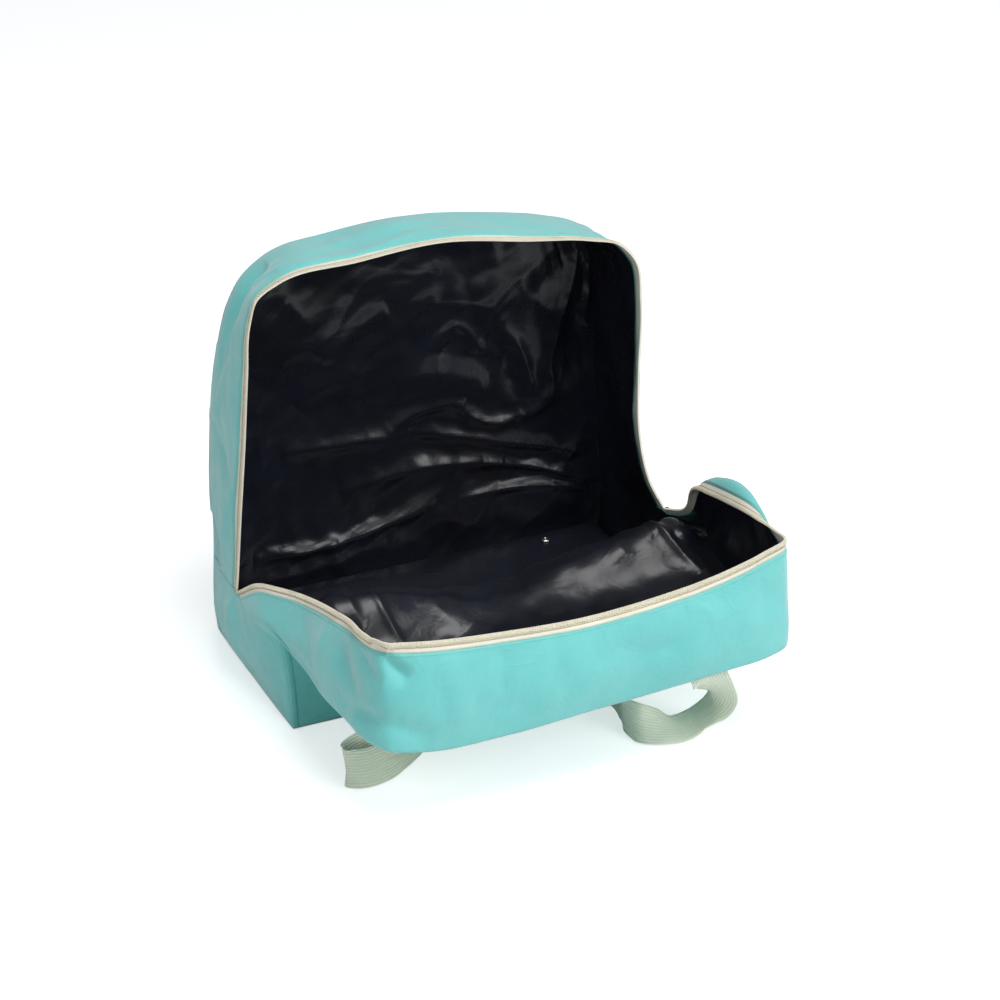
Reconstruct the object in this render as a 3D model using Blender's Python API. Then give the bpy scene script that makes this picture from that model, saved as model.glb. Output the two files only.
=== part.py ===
"""Soft tote bag for a sewing machine: it stands on its base, unzipped, with its front half folded down.

The outer cloth is one sewn shell of five surfaces: base, back panel, front panel and two gusset strips.
Each cloth piece is peeled from that shell: the outer fabric first, then the lining behind it.
X runs across the bag, -Y is its front and Z is up. The origin is on the floor under the base's centre.
"""

import bmesh
import bpy
import numpy as np

# Driving dimensions, in metres.
WIDTH = 0.450  # of the base, from side to side
DEPTH = 0.220  # of the base, from front to back
HEIGHT = 0.440  # of the standing half, from the floor to its zip edge
HINGE_HEIGHT = 0.105  # of the zip's two ends above the floor
FOLD_HEIGHT = 0.120  # of the line where the front panel folds over
TRAY_LENGTH = 0.220  # of the folded front half, from the fold to its far edge
FABRIC = 0.0018  # thickness of the outer cloth
LINING = 0.0012  # thickness of the lining
LAYER_GAP = 0.0004  # between the outer cloth and the lining
SEAM_GAP = 0.00046  # between two cloth pieces along a seam
BACK_FULLNESS = 0.010  # of the back panel, beyond a flat one
TRAY_SAG = 0.006  # of the folded front panel between its seams
TAPE_WIDTH = 0.011  # of each zip tape, from cloth to teeth
PAD_THICKNESS = 0.042  # of the base pad
PAD_CLEARANCE = 0.004  # round the base pad
STUD_RADIUS = 0.005
STUD_TOP_RADIUS = 0.003
STUD_HEIGHT = 0.0025
STUD_PLACE = (0.61, 0.62)  # to the right and to the rear, as shares of half the width and half the depth
BINDING_WIDTH = 0.006  # of the bound corner seams
BINDING_THICKNESS = 0.003
BINDING_CLEARANCE = 0.0009  # between a binding and the front panel
STRAP_WIDTH = 0.038  # of the webbing
STRAP_THICKNESS = 0.0022
HANDLE_SPREAD = 0.270  # between the two legs of a handle
BACK_LOOP_SLACK = 0.200  # of the rear handle, the drop from its legs to its lowest point
SLIDER_SIZE = (0.004, 0.009, 0.014)

SMALLEST_GAP = 0.0003  # between two pieces that touch on the real bag
STRAP_CLEARANCE = 0.0006  # between a strap's leg and the panel it is sewn on
SLIDER_CLEARANCE = 0.0016
PROFILE_SHARES = 81  # points of a gusset section before its mesh lines are set out
BEND_STEPS = 2  # mesh steps between two bends of a handle
SIDE_STEPS = 2  # mesh steps between two rows along a side
TOP_STEPS = 3  # mesh steps between two rows along the top or the far edge
SHARP_ANGLE = np.radians(40)  # between faces that are shaded apart
MITRE_LIMIT = 1.5  # of a cloth layer's depth at an edge, over its depth on a flat stretch
FOLD_ROW = 2  # row of the gusset tables that lies at the zip's end
BACK_CORNER_ROWS = (7, 14)
FRONT_CORNER_ROWS = (9, 16)
BACK_LEG_ROWS = (2, 9)  # mesh rows of the rear panel that its handle's legs are sewn to
FRONT_LEG_ROWS = (6, 13)
PANELS = ("base_panel", "back_panel", "front_panel")
GUSSETS = ("back_gusset", "front_gusset", "side_left", "side_right")

# A row for each section of the rear gusset, from the base's left end, over the top, to its right end.
# side is a share of half the width, level is 0 on the floor, 1 at the zip's end and 2 at the top,
# back is a share of half the depth and bulge one of half the depth, outwards.
BACK_SECTIONS = (
    # edge_side, edge_level, seam_side, seam_back, seam_level, bulge
    (-1.000, 0.000, -1.000, 1.00, 0.000, 0.00),
    (-1.115, 0.680, -1.005, 1.01, 0.290, 0.02),
    (-1.062, 1.000, -0.995, 1.05, 0.860, 0.03),
    (-1.031, 1.239, -0.985, 1.11, 1.194, 0.09),
    (-1.000, 1.463, -0.975, 1.06, 1.433, 0.09),
    (-0.973, 1.700, -0.950, 0.98, 1.642, 0.07),
    (-0.951, 1.869, -0.905, 0.90, 1.800, 0.03),
    (-0.916, 1.940, -0.835, 0.87, 1.890, 0.00),
    (-0.813, 1.982, -0.725, 0.90, 1.942, 0.02),
    (-0.444, 2.006, -0.400, 0.94, 1.976, 0.05),
    (-0.044, 2.020, -0.044, 0.95, 1.985, 0.06),
    (0.356, 1.976, 0.356, 0.95, 1.950, 0.05),
    (0.689, 1.937, 0.645, 0.93, 1.908, 0.03),
    (0.827, 1.907, 0.800, 0.92, 1.868, 0.01),
    (0.911, 1.842, 0.885, 0.92, 1.785, 0.01),
    (0.942, 1.700, 0.940, 0.97, 1.642, 0.04),
    (0.938, 1.439, 0.950, 1.00, 1.433, 0.06),
    (0.951, 1.239, 0.970, 1.00, 1.194, 0.06),
    (1.010, 1.069, 0.990, 1.00, 1.015, 0.05),
    (1.090, 0.880, 1.000, 1.00, 0.762, 0.04),
    (1.100, 0.520, 1.000, 1.02, 0.290, 0.02),
    (1.000, 0.000, 1.000, 1.00, 0.000, 0.00),
)

# The same for the front gusset, which is folded forwards above the zip's ends.
# edge_forward is a share of the reach in front of the hinge and seam_forward one of the tray's length.
# edge_rise is a share of half the depth above the zip's end, or a level as above where edge_forward is 0.
# fold is a share of the fold's height, and lift, like bulge, one of half the depth, but upwards.
# A peak under 1 moves the bulge towards the zip.
FRONT_SECTIONS = (
    # edge_side, edge_forward, edge_rise, seam_side, seam_forward, fold, bulge, lift, peak
    (-1.000, 0.000, 0.000, -1.000, 0.000, 0.00, 0.00, 0.00, 1.00),
    (-1.115, 0.000, 0.680, -1.005, -0.020, 0.48, 0.02, 0.00, 1.00),
    (-1.062, 0.000, 1.000, -1.015, -0.080, 0.88, 0.08, -0.05, 1.00),
    (-1.013, 0.118, 0.245, -1.020, 0.070, 0.89, 0.15, -0.10, 1.00),
    (-0.975, 0.195, 0.310, -1.025, 0.170, 0.86, 0.16, -0.12, 1.00),
    (-0.938, 0.279, 0.373, -1.030, 0.300, 0.84, 0.15, -0.11, 1.00),
    (-0.911, 0.470, 0.536, -1.030, 0.500, 0.82, 0.13, -0.07, 1.00),
    (-0.916, 0.655, 0.690, -1.018, 0.700, 0.83, 0.10, -0.04, 1.00),
    (-0.929, 0.818, 0.800, -1.000, 0.880, 0.82, 0.06, 0.00, 1.00),
    (-0.911, 0.925, 0.870, -0.935, 0.975, 0.79, 0.03, 0.00, 1.00),
    (-0.780, 0.942, 0.840, -0.780, 1.000, 0.73, 0.05, 0.00, 1.00),
    (-0.400, 0.940, 0.745, -0.400, 1.010, 0.71, 0.08, 0.00, 1.00),
    (0.000, 0.940, 0.700, 0.000, 1.010, 0.75, 0.09, 0.00, 1.00),
    (0.320, 0.940, 0.735, 0.320, 1.010, 0.78, 0.08, 0.00, 1.00),
    (0.620, 0.940, 0.815, 0.620, 1.005, 0.81, 0.06, 0.00, 1.00),
    (0.870, 0.940, 0.950, 0.850, 1.000, 0.84, 0.03, 0.00, 1.00),
    (0.955, 0.930, 0.990, 0.945, 0.970, 0.86, 0.02, 0.00, 1.00),
    (0.978, 0.840, 0.955, 0.998, 0.870, 0.87, 0.06, 0.02, 0.90),
    (0.978, 0.700, 0.880, 1.013, 0.680, 0.88, 0.14, 0.16, 0.60),
    (0.974, 0.560, 0.800, 1.022, 0.490, 0.89, 0.18, 0.28, 0.50),
    (0.965, 0.440, 0.730, 1.022, 0.310, 0.90, 0.18, 0.26, 0.50),
    (0.978, 0.320, 0.610, 1.022, 0.170, 0.92, 0.17, 0.16, 0.60),
    (1.028, 0.220, 0.260, 1.022, 0.070, 0.95, 0.11, 0.04, 0.90),
    (1.090, 0.000, 0.880, 1.015, -0.080, 0.93, 0.05, -0.05, 1.00),
    (1.100, 0.000, 0.520, 1.005, -0.020, 0.48, 0.02, 0.00, 1.00),
    (1.000, 0.000, 0.000, 1.000, 0.000, 0.00, 0.00, 0.00, 1.00),
)

# Shares of the cloth from the zip tape to the seam at which the gussets' mesh has its lines.
ACROSS_GUSSET = (0.24, 0.50, 0.76, 1.0)

# A row for each large dent of the gussets' cloth. along and across place its middle, as shares of the
# strip's length and width. long, wide and depth are shares of half the base's depth; turn is in turns.
BACK_DENTS = (
    # along, across, long, wide, turn, depth
    (0.300, 0.62, 0.62, 0.16, 0.010, 0.085),
    (0.215, 0.45, 0.55, 0.20, -0.015, 0.035),
    (0.470, 0.40, 0.90, 0.16, 0.010, 0.035),
    (0.840, 0.50, 0.60, 0.20, 0.000, 0.030),
)
FRONT_DENTS = (
    # along, across, long, wide, turn, depth
    (0.268, 0.36, 0.34, 0.13, 0.130, 0.075),
    (0.290, 0.78, 0.50, 0.12, 0.010, 0.045),
    (0.165, 0.70, 0.50, 0.16, 0.020, 0.035),
    (0.470, 0.55, 0.22, 0.12, 0.240, 0.030),
    (0.660, 0.45, 0.30, 0.14, 0.080, 0.030),
)

# A row for each large fold of the rear lining. across and up place its middle on the panel, as shares of it.
# long and wide are shares of the width, turn is in turns from level, and height a share of the fullest fold.
LINING_FULLNESS = 0.012  # height of the fullest fold
LINING_FOLDS = (
    # across, up, long, wide, turn, height
    (0.30, 0.16, 0.26, 0.050, 0.035, 1.00),
    (0.66, 0.24, 0.28, 0.055, -0.010, 0.90),
    (0.52, 0.36, 0.30, 0.060, -0.020, 1.00),
    (0.28, 0.44, 0.22, 0.055, 0.015, 0.70),
    (0.72, 0.47, 0.22, 0.055, -0.030, 0.70),
    (0.85, 0.74, 0.16, 0.050, 0.230, 0.80),
    (0.62, 0.84, 0.20, 0.070, 0.090, 0.60),
    (0.24, 0.74, 0.20, 0.080, 0.060, 0.50),
)

# A row for each bend of the front handle's free stretch, from the left leg to the right one.
# side is a share of half the width, forward one of the tray's length beyond the base and rise one of the
# fold's height, or 0 where the strap rests on the floor. lean is the turn of the strap's width away from
# upright, towards heading, which counts from the right and is a quarter turn at the rear.
FRONT_HANDLE_BENDS = (
    # side, forward, rise, lean, heading
    (-0.604, 0.709, 0.638, 0.250, 0.50),
    (-0.617, 0.745, 0.553, 0.250, 0.50),
    (-0.640, 0.705, 0.471, 0.250, 0.50),
    (-0.680, 0.630, 0.418, 0.220, 0.50),
    (-0.755, 0.540, 0.340, 0.130, 0.45),
    (-0.845, 0.473, 0.241, 0.050, 0.40),
    (-0.916, 0.468, 0.000, 0.030, 0.35),
    (-0.942, 0.518, 0.000, 0.050, 0.25),
    (-0.890, 0.545, 0.000, 0.070, 0.25),
    (-0.782, 0.536, 0.000, 0.070, 0.25),
    (-0.649, 0.468, 0.000, 0.050, 0.25),
    (-0.490, 0.360, 0.000, 0.030, 0.25),
    (-0.290, 0.273, 0.000, 0.020, 0.25),
    (-0.045, 0.232, 0.000, 0.020, 0.25),
    (0.178, 0.214, 0.000, 0.020, 0.25),
    (0.325, 0.280, 0.000, 0.030, 0.25),
    (0.372, 0.400, 0.000, 0.040, 0.28),
    (0.358, 0.530, 0.000, 0.050, 0.25),
    (0.338, 0.630, 0.000, 0.065, 0.25),
    (0.369, 0.709, 0.000, 0.085, 0.25),
    (0.453, 0.745, 0.000, 0.150, 0.25),
    (0.542, 0.745, 0.000, 0.215, 0.25),
    (0.640, 0.732, 0.075, 0.245, 0.25),
    (0.711, 0.755, 0.184, 0.250, 0.26),
    (0.720, 0.800, 0.333, 0.250, 0.33),
    (0.662, 0.845, 0.510, 0.250, 0.43),
    (0.613, 0.868, 0.648, 0.250, 0.50),
    (0.600, 0.827, 0.698, 0.250, 0.50),
)

# A row for each bend of the rear handle's left half, from its leg to its lowest point.
# side is a share of half the spread, out one of the strap's width and drop one of the slack.
BACK_HANDLE_BENDS = (
    # side, out, drop, lean
    (-1.000, 0.15, -0.175, 0.250),
    (-1.000, 0.55, -0.265, 0.250),
    (-0.985, 1.00, -0.180, 0.250),
    (-0.935, 1.02, 0.025, 0.275),
    (-0.800, 0.90, 0.325, 0.310),
    (-0.540, 0.75, 0.600, 0.370),
    (-0.220, 0.62, 0.740, 0.460),
    (0.000, 0.60, 0.770, 0.500),
)


def empty_scene():
    for thing in list(bpy.data.objects):
        bpy.data.objects.remove(thing, do_unlink=True)


def material(name, colour, roughness, metallic=0.0):
    made = bpy.data.materials.new(name)
    made.use_nodes = True
    shader = made.node_tree.nodes["Principled BSDF"]
    shader.inputs["Base Color"].default_value = (*colour, 1.0)
    shader.inputs["Roughness"].default_value = roughness
    shader.inputs["Metallic"].default_value = metallic
    return made


def add_object(name, points, faces, finish):
    mesh = bpy.data.meshes.new(name)
    mesh.from_pydata([tuple(p) for p in points], [], faces)
    mesh.materials.append(finish)
    mesh.shade_smooth()
    mesh.set_sharp_from_angle(angle=SHARP_ANGLE)
    made = bpy.data.objects.new(name, mesh)
    bpy.context.collection.objects.link(made)
    return made


# Curves and surfaces.


def smooth_path(points, steps):
    """A curve through all the points, with steps[i] even shares of the way from point i to the next."""
    points = np.asarray(points, float)
    gaps = np.linalg.norm(np.diff(points, axis=0), axis=1)[:, None]
    slopes = np.diff(points, axis=0) / gaps
    tangents = np.vstack([slopes[:1], slopes[:1], slopes[-1:]])
    if len(points) > 2:
        middle = (slopes[:-1] * gaps[1:] + slopes[1:] * gaps[:-1]) / (gaps[1:] + gaps[:-1])
        tangents = np.vstack([slopes[:1], middle, slopes[-1:]])
    found = []
    for i, count in enumerate(steps):
        t = (np.arange(count) / count)[:, None]
        start, end, reach = points[i], points[i + 1], gaps[i]
        bend = (2 * t**3 - 3 * t**2 + 1) * start + (3 * t**2 - 2 * t**3) * end
        lead = (t**3 - 2 * t**2 + t) * reach * tangents[i]
        found.append(bend + lead + (t**3 - t**2) * reach * tangents[i + 1])
    return np.vstack([*found, points[-1:]])


def folded_path(points, steps, sharp_rows):
    """smooth_path in stretches, so that the curve may turn sharply at the rows named."""
    ends = [0, *sharp_rows, len(points) - 1]
    stretches = [smooth_path(points[a : b + 1], steps[a:b]) for a, b in zip(ends, ends[1:])]
    return np.vstack([stretches[0], *(s[1:] for s in stretches[1:])])


def steps_of(table, corner_rows):
    """The mesh steps after each row: more along the top, save next to its corners, where rows are close."""
    first, last = corner_rows
    return [TOP_STEPS if first < i < last - 1 else SIDE_STEPS for i in range(len(table) - 1)]


def height_at(level):
    """The height of a level: 0 is the floor, 1 the zip's end and 2 the top."""
    return np.where(level < 1, level * HINGE_HEIGHT, HINGE_HEIGHT + (level - 1) * (HEIGHT - HINGE_HEIGHT))


def relief(a, b, table, spans, size):
    """The sum of a table's folds at the places a, b: each is a long hump, highest along its middle."""
    total = np.zeros(np.broadcast(a, b).shape)
    for at_a, at_b, long, wide, turn, height in table:
        angle = 2 * np.pi * turn
        da, db = a - at_a * spans[0], b - at_b * spans[1]
        along = (da * np.cos(angle) + db * np.sin(angle)) / (long * size)
        off = (db * np.cos(angle) - da * np.sin(angle)) / (wide * size)
        total += height * np.exp(-(along**2) - off**2)
    return total


def path_lengths(points):
    return np.concatenate([[0], np.cumsum(np.linalg.norm(np.diff(points, axis=0), axis=1))])


def gusset_surface(edge, seam, bulge, lift, peak, dents, outwards):
    """Sections from edge to seam, bulged outwards and upwards: points[station, across].

    Each section is drawn finely first. Its mesh lines are then set out along it, the zip tape's first.
    """
    along = np.gradient(edge + seam, axis=0)
    normal = unit(np.cross(along, seam - edge)) * outwards
    share = np.linspace(0, 1, PROFILE_SHARES)
    reach = DEPTH / 2
    swell = np.sin(np.pi * share ** peak[:, None]) * reach
    run = path_lengths((edge + seam) / 2)[:, None]
    sunk = relief(run, share * reach, dents, (run[-1, 0], reach), reach) * reach * np.sin(np.pi * share)
    out = swell * bulge[:, None] - sunk
    fine = edge[:, None] + (seam - edge)[:, None] * share[:, None] + normal[:, None] * out[..., None]
    fine[..., 2] += swell * lift[:, None]
    return np.array([section_points(section) for section in fine])


def section_points(section):
    """The points of one gusset section that its mesh keeps: the edge, the tape's end and the rest."""
    lengths = path_lengths(section)
    rest = TAPE_WIDTH + (lengths[-1] - TAPE_WIDTH) * np.array(ACROSS_GUSSET)
    kept = np.concatenate([[0, TAPE_WIDTH], rest])
    return np.stack([np.interp(kept, lengths, section[:, k]) for k in range(3)], 1)


def along_rows(values, steps):
    """A table's column read at every station."""
    shares = row_shares(steps)
    return np.interp(np.linspace(0, 1, sum(steps) + 1), shares, values)


def back_gusset():
    rows = np.array(BACK_SECTIONS)
    edge_side, edge_level, seam_side, seam_back, seam_level, bulge = rows.T
    edge = np.stack([edge_side * WIDTH / 2, np.zeros(len(rows)), height_at(edge_level)], 1)
    seam = np.stack([seam_side * WIDTH / 2, seam_back * DEPTH / 2, height_at(seam_level)], 1)
    steps = steps_of(rows, BACK_CORNER_ROWS)
    sharp = (FOLD_ROW, len(rows) - 1 - FOLD_ROW)
    edge, seam = folded_path(edge, steps, sharp), smooth_path(seam, steps)
    bulge = along_rows(bulge, steps)
    plain = np.zeros_like(bulge)
    return gusset_surface(edge, seam, bulge, plain, plain + 1, BACK_DENTS, 1)


def front_gusset():
    rows = np.array(FRONT_SECTIONS)
    edge_side, edge_forward, edge_rise, seam_side, seam_forward, fold, bulge, lift, peak = rows.T
    reach = DEPTH / 2 + TRAY_LENGTH
    rise = np.where(edge_forward > 0, HINGE_HEIGHT + edge_rise * DEPTH / 2, height_at(edge_rise))
    edge = np.stack([edge_side * WIDTH / 2, -edge_forward * reach, rise], 1)
    forward = -DEPTH / 2 - seam_forward * TRAY_LENGTH
    seam = np.stack([seam_side * WIDTH / 2, forward, fold * FOLD_HEIGHT], 1)
    steps = steps_of(rows, FRONT_CORNER_ROWS)
    sharp = (FOLD_ROW, len(rows) - 1 - FOLD_ROW)
    edge, seam = folded_path(edge, steps, sharp), folded_path(seam, steps, sharp)
    bulge, lift, peak = (along_rows(values, steps) for values in (bulge, lift, peak))
    return gusset_surface(edge, seam, bulge, lift, peak, FRONT_DENTS, -1)


def row_shares(steps):
    return np.concatenate([[0], np.cumsum(steps)]) / sum(steps)


def patch(bottom, top, left, right):
    """A surface stretched between four edges: points[across, up]."""
    s = np.linspace(0, 1, len(bottom))[:, None, None]
    t = np.linspace(0, 1, len(left))[None, :, None]
    ruled = (1 - t) * bottom[:, None] + t * top[:, None] + (1 - s) * left[None] + s * right[None]
    low = (1 - s) * bottom[0] + s * bottom[-1]
    high = (1 - s) * top[0] + s * top[-1]
    return ruled - (1 - t) * low - t * high


def pillow(surface):
    """1 in the middle of a surface and 0 along its edges."""
    across, up = (np.sin(np.pi * np.linspace(0, 1, n)) for n in surface.shape[:2])
    return np.sqrt(across[:, None] * up[None])[..., None]


def split_seam(seam, table, corner_rows):
    """The seam's left side, far edge and right side, each from the floor or from the left."""
    steps = steps_of(table, corner_rows)
    first, last = (sum(steps[:row]) for row in corner_rows)
    return seam[: first + 1], seam[first : last + 1], seam[last:][::-1]


def surfaces():
    """The five surfaces of the sewn shell, each with whether its mesh has to be flipped to face outwards."""
    back, front = back_gusset(), front_gusset()
    left, top, right = split_seam(back[:, -1], BACK_SECTIONS, BACK_CORNER_ROWS)
    low_back = np.linspace(left[0], right[0], len(top))
    back_panel = patch(low_back, top, left, right)
    back_panel += np.array([0, BACK_FULLNESS, 0]) * pillow(back_panel)
    left, far, right = split_seam(front[:, -1], FRONT_SECTIONS, FRONT_CORNER_ROWS)
    low_front = np.linspace(left[0], right[0], len(far))
    front_panel = patch(low_front, far, left, right)
    folded = FOLD_ROW * SIDE_STEPS
    tray = front_panel[:, folded:]
    tray -= np.array([0, 0, TRAY_SAG]) * pillow(tray)
    side = np.vstack([front[0][::-1], back[0][1:]])
    other = np.vstack([front[-1][::-1], back[-1][1:]])
    base = patch(low_front, low_back, side, other)
    return {
        "back_gusset": (back, False),
        "front_gusset": (front, True),
        "back_panel": (back_panel, True),
        "front_panel": (front_panel, False),
        "base_panel": (base, True),
    }


def panel_of(surface, i, j, stations):
    """The cloth piece that face i, j of a surface belongs to."""
    if not surface.endswith("gusset"):
        return surface
    below_zip = FOLD_ROW * SIDE_STEPS
    if i < below_zip or i >= stations - 1 - below_zip:
        return "side_left" if i < below_zip else "side_right"
    return surface.replace("gusset", "zip_tape") if j == 0 else surface


def sewn_shell(parts):
    """One mesh of all the surfaces with their shared edges merged, and the cloth piece of each face."""
    shell = bmesh.new()
    mark = shell.faces.layers.string.new("panel")
    for surface, (points, flip) in parts.items():
        stations = len(points)
        grid = [[shell.verts.new(p) for p in row] for row in points]
        for i in range(stations - 1):
            for j in range(len(grid[0]) - 1):
                corners = [grid[i][j], grid[i + 1][j], grid[i + 1][j + 1], grid[i][j + 1]]
                face = shell.faces.new(corners[::-1] if flip else corners)
                face[mark] = panel_of(surface, i, j, stations).encode()
    bmesh.ops.remove_doubles(shell, verts=shell.verts[:], dist=SEAM_GAP / 10)
    flat = [f for f in shell.faces if f[mark] == b"base_panel"]
    bmesh.ops.dissolve_faces(shell, faces=flat)
    bmesh.ops.triangulate(shell, faces=shell.faces[:], quad_method="SHORT_EDGE")
    shell.normal_update()
    shell.verts.index_update()
    return shell


def inwards(vert):
    """The way that a cloth layer behind this point lies, for each metre of depth."""
    return -np.array(vert.normal) * min(vert.calc_shell_factor(), MITRE_LIMIT)


def peel(shell, panel, near, far, finish, name=None, lift=None):
    """The solid of one cloth piece between two depths behind the shell's outer face."""
    mark = shell.faces.layers.string["panel"]
    faces = [f for f in shell.faces if f[mark].decode() == panel]
    verts = list(dict.fromkeys(v for f in faces for v in f.verts))
    number = {v: i for i, v in enumerate(verts)}
    chosen = set(faces)
    seams = {e for f in faces for e in f.edges if len(chosen & set(e.link_faces)) == 1}
    rim = {v for e in seams if len(e.link_faces) > 1 for v in e.verts}
    outer, inner = [], []
    for v in verts:
        place, way = np.array(v.co), inwards(v)
        if v in rim:
            heart = np.mean([f.calc_center_median() for f in v.link_faces if f in chosen], axis=0)
            place = place + (heart - place) / np.linalg.norm(heart - place) * SEAM_GAP
        raised = lift(place) if lift else 0.0
        outer.append(place + way * (near + raised))
        inner.append(place + way * (far + raised))
    count = len(verts)
    made = [[number[v] for v in f.verts] for f in faces]
    made += [[number[v] + count for v in reversed(f.verts)] for f in faces]
    for e in seams:
        face = next(f for f in e.link_faces if f in chosen)
        loop = next(x for x in face.loops if x.edge == e)
        a, b = number[loop.vert], number[loop.link_loop_next.vert]
        made.append([b, a, a + count, b + count])
    return add_object(name or panel, outer + inner, made, finish)


def lining_lift(place):
    """How far the rear lining stands off the panel at a place, from the table of folds."""
    across, up = place[0] / WIDTH + 0.5, place[2] / HEIGHT
    near_seams = np.sin(np.pi * np.clip(across, 0, 1)) * np.sin(np.pi * np.clip(up, 0, 1))
    total = relief(place[0] + WIDTH / 2, place[2], LINING_FOLDS, (WIDTH, HEIGHT), WIDTH)
    return LINING_FULLNESS * min(float(total), 1.0) * np.sqrt(near_seams)


# Swept pieces.


def swept(name, corners, finish):
    """A solid with a closed outline at each station: corners[station, corner]."""
    stations, sides = corners.shape[:2]
    points = corners.reshape(-1, 3)
    faces = []
    for i in range(stations - 1):
        for j in range(sides):
            k = (j + 1) % sides
            faces.append([i * sides + j, i * sides + k, (i + 1) * sides + k, (i + 1) * sides + j])
    faces.append(list(range(sides))[::-1])
    faces.append([(stations - 1) * sides + j for j in range(sides)])
    made = add_object(name, points, faces, finish)
    face_outwards(made)
    return made


def face_outwards(thing):
    mesh = bmesh.new()
    mesh.from_mesh(thing.data)
    bmesh.ops.recalc_face_normals(mesh, faces=mesh.faces[:])
    mesh.to_mesh(thing.data)
    mesh.free()


def unit(vectors):
    return vectors / np.linalg.norm(vectors, axis=-1, keepdims=True)


def strip(centre, width_way, width, thickness):
    """The four corners, at each station, of a flat strip."""
    along = np.gradient(centre, axis=0)
    across = unit(width_way - unit(along) * np.sum(width_way * unit(along), 1)[:, None])
    face = unit(np.cross(along, across))
    half, thin = across * width / 2, face * thickness / 2
    corners = (-half - thin, half - thin, half + thin, thin - half)
    return np.stack([centre + corner for corner in corners], 1)


def corner_binding(name, seam, side, finish):
    """The bound seam that stands out at a lower front corner, from the floor to the fold."""
    stations = seam[: FOLD_ROW * SIDE_STEPS]
    off = BINDING_THICKNESS / 2 + BINDING_CLEARANCE
    centre = stations - np.array([side * BINDING_THICKNESS, off, 0])
    centre[0, 2] = SMALLEST_GAP
    level = np.tile([1.0, 0, 0], (len(centre), 1))
    return swept(name, strip(centre, level, BINDING_WIDTH, BINDING_THICKNESS), finish)


# Handles.


def leg_on_panel(points, x, rows, side):
    """A strap sewn flat on a panel's outer face: its middle line and the way of its width, row by row."""
    centre, ways = [], []
    for row in rows:
        line, beside = points[:, row], points[:, row + 1]
        left, at, right = (row_point(line, x + share * STRAP_WIDTH / 2) for share in (-1, 0, 1))
        tangent = unit(right - left)
        normal = unit(np.cross(tangent, row_point(beside, x) - at)) * side
        centre.append(at + normal * (STRAP_THICKNESS / 2 + STRAP_CLEARANCE))
        ways.append(-tangent)
    return np.array(centre), np.array(ways)


def row_point(line, x):
    return np.array([np.interp(x, line[:, 0], line[:, k]) for k in range(3)])


def width_ways(lean, heading):
    """The way of a strap's width, leant away from upright towards a heading."""
    lean, heading = lean * 2 * np.pi, heading * 2 * np.pi
    flat = np.sin(lean)
    return np.stack([flat * np.cos(heading), flat * np.sin(heading), np.cos(lean)], 1)


def handle(name, left_leg, bends, right_leg, ways, finish):
    """A strap through a left leg, free bends and a right leg, kept off the floor.

    ways holds the way of its width at each of those points.
    """
    control = np.vstack([left_leg, bends, right_leg[::-1]])
    steps = [1] * (len(left_leg) - 1) + [BEND_STEPS] * (len(bends) + 1) + [1] * (len(right_leg) - 1)
    centre = smooth_path(control, steps)
    way = np.stack([along_rows(ways[:, k], steps) for k in range(3)], 1)
    corners = strip(centre, way, STRAP_WIDTH, STRAP_THICKNESS)
    sunk = SMALLEST_GAP - corners[..., 2].min(1)
    corners[..., 2] += np.maximum(0, sunk)[:, None]
    return swept(name, corners, finish)


def front_handle(front_panel, finish):
    """One strap: off the left leg, round the left loop, along the floor, round the right loop to its leg."""
    rows = range(*FRONT_LEG_ROWS)
    left, left_ways = leg_on_panel(front_panel, -HANDLE_SPREAD / 2, rows, 1)
    right, right_ways = leg_on_panel(front_panel, HANDLE_SPREAD / 2, rows, 1)
    side, forward, rise, lean, heading = np.array(FRONT_HANDLE_BENDS).T
    ways = width_ways(lean, heading)
    thin = np.sqrt(1 - ways[:, 2] ** 2)
    resting = STRAP_WIDTH / 2 * ways[:, 2] + STRAP_THICKNESS / 2 * thin + 2 * SMALLEST_GAP
    up = np.maximum(resting, rise * FOLD_HEIGHT)
    bends = np.stack([side * WIDTH / 2, -DEPTH / 2 - forward * TRAY_LENGTH, up], 1)
    ways = np.vstack([left_ways, ways, right_ways[::-1]])
    return handle("front_handle", left, bends, right, ways, finish)


def back_handle(back_panel, finish):
    """One strap: up the left leg, over and down in a slack loop behind the panel, and to the right leg."""
    rows = range(*BACK_LEG_ROWS)
    left, left_ways = leg_on_panel(back_panel, -HANDLE_SPREAD / 2, rows, -1)
    right, right_ways = leg_on_panel(back_panel, HANDLE_SPREAD / 2, rows, -1)
    side, out, drop, lean = np.array(BACK_HANDLE_BENDS).T
    behind = left[-1, 1] + out * STRAP_WIDTH
    half = np.stack([side * HANDLE_SPREAD / 2, behind, left[-1, 2] - drop * BACK_LOOP_SLACK], 1)
    ways = width_ways(lean, np.full(len(lean), 0.5))
    mirror = np.array([-1.0, 1, 1])
    bends = np.vstack([half, half[-2::-1] * mirror])
    ways = np.vstack([left_ways, ways, ways[-2::-1] * mirror, -right_ways[::-1]])
    return handle("back_handle", left, bends, right, ways, finish)


# Small parts.


def box(name, size, centre, finish, bevel):
    mesh = bmesh.new()
    bmesh.ops.create_cube(mesh, size=1.0)
    bmesh.ops.scale(mesh, vec=size, verts=mesh.verts[:])
    data = bpy.data.meshes.new(name)
    mesh.to_mesh(data)
    mesh.free()
    data.materials.append(finish)
    made = bpy.data.objects.new(name, data)
    made.location = centre
    bpy.context.collection.objects.link(made)
    edges = made.modifiers.new("soft_edges", "BEVEL")
    edges.width = bevel
    edges.segments = 2
    return made


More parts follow.
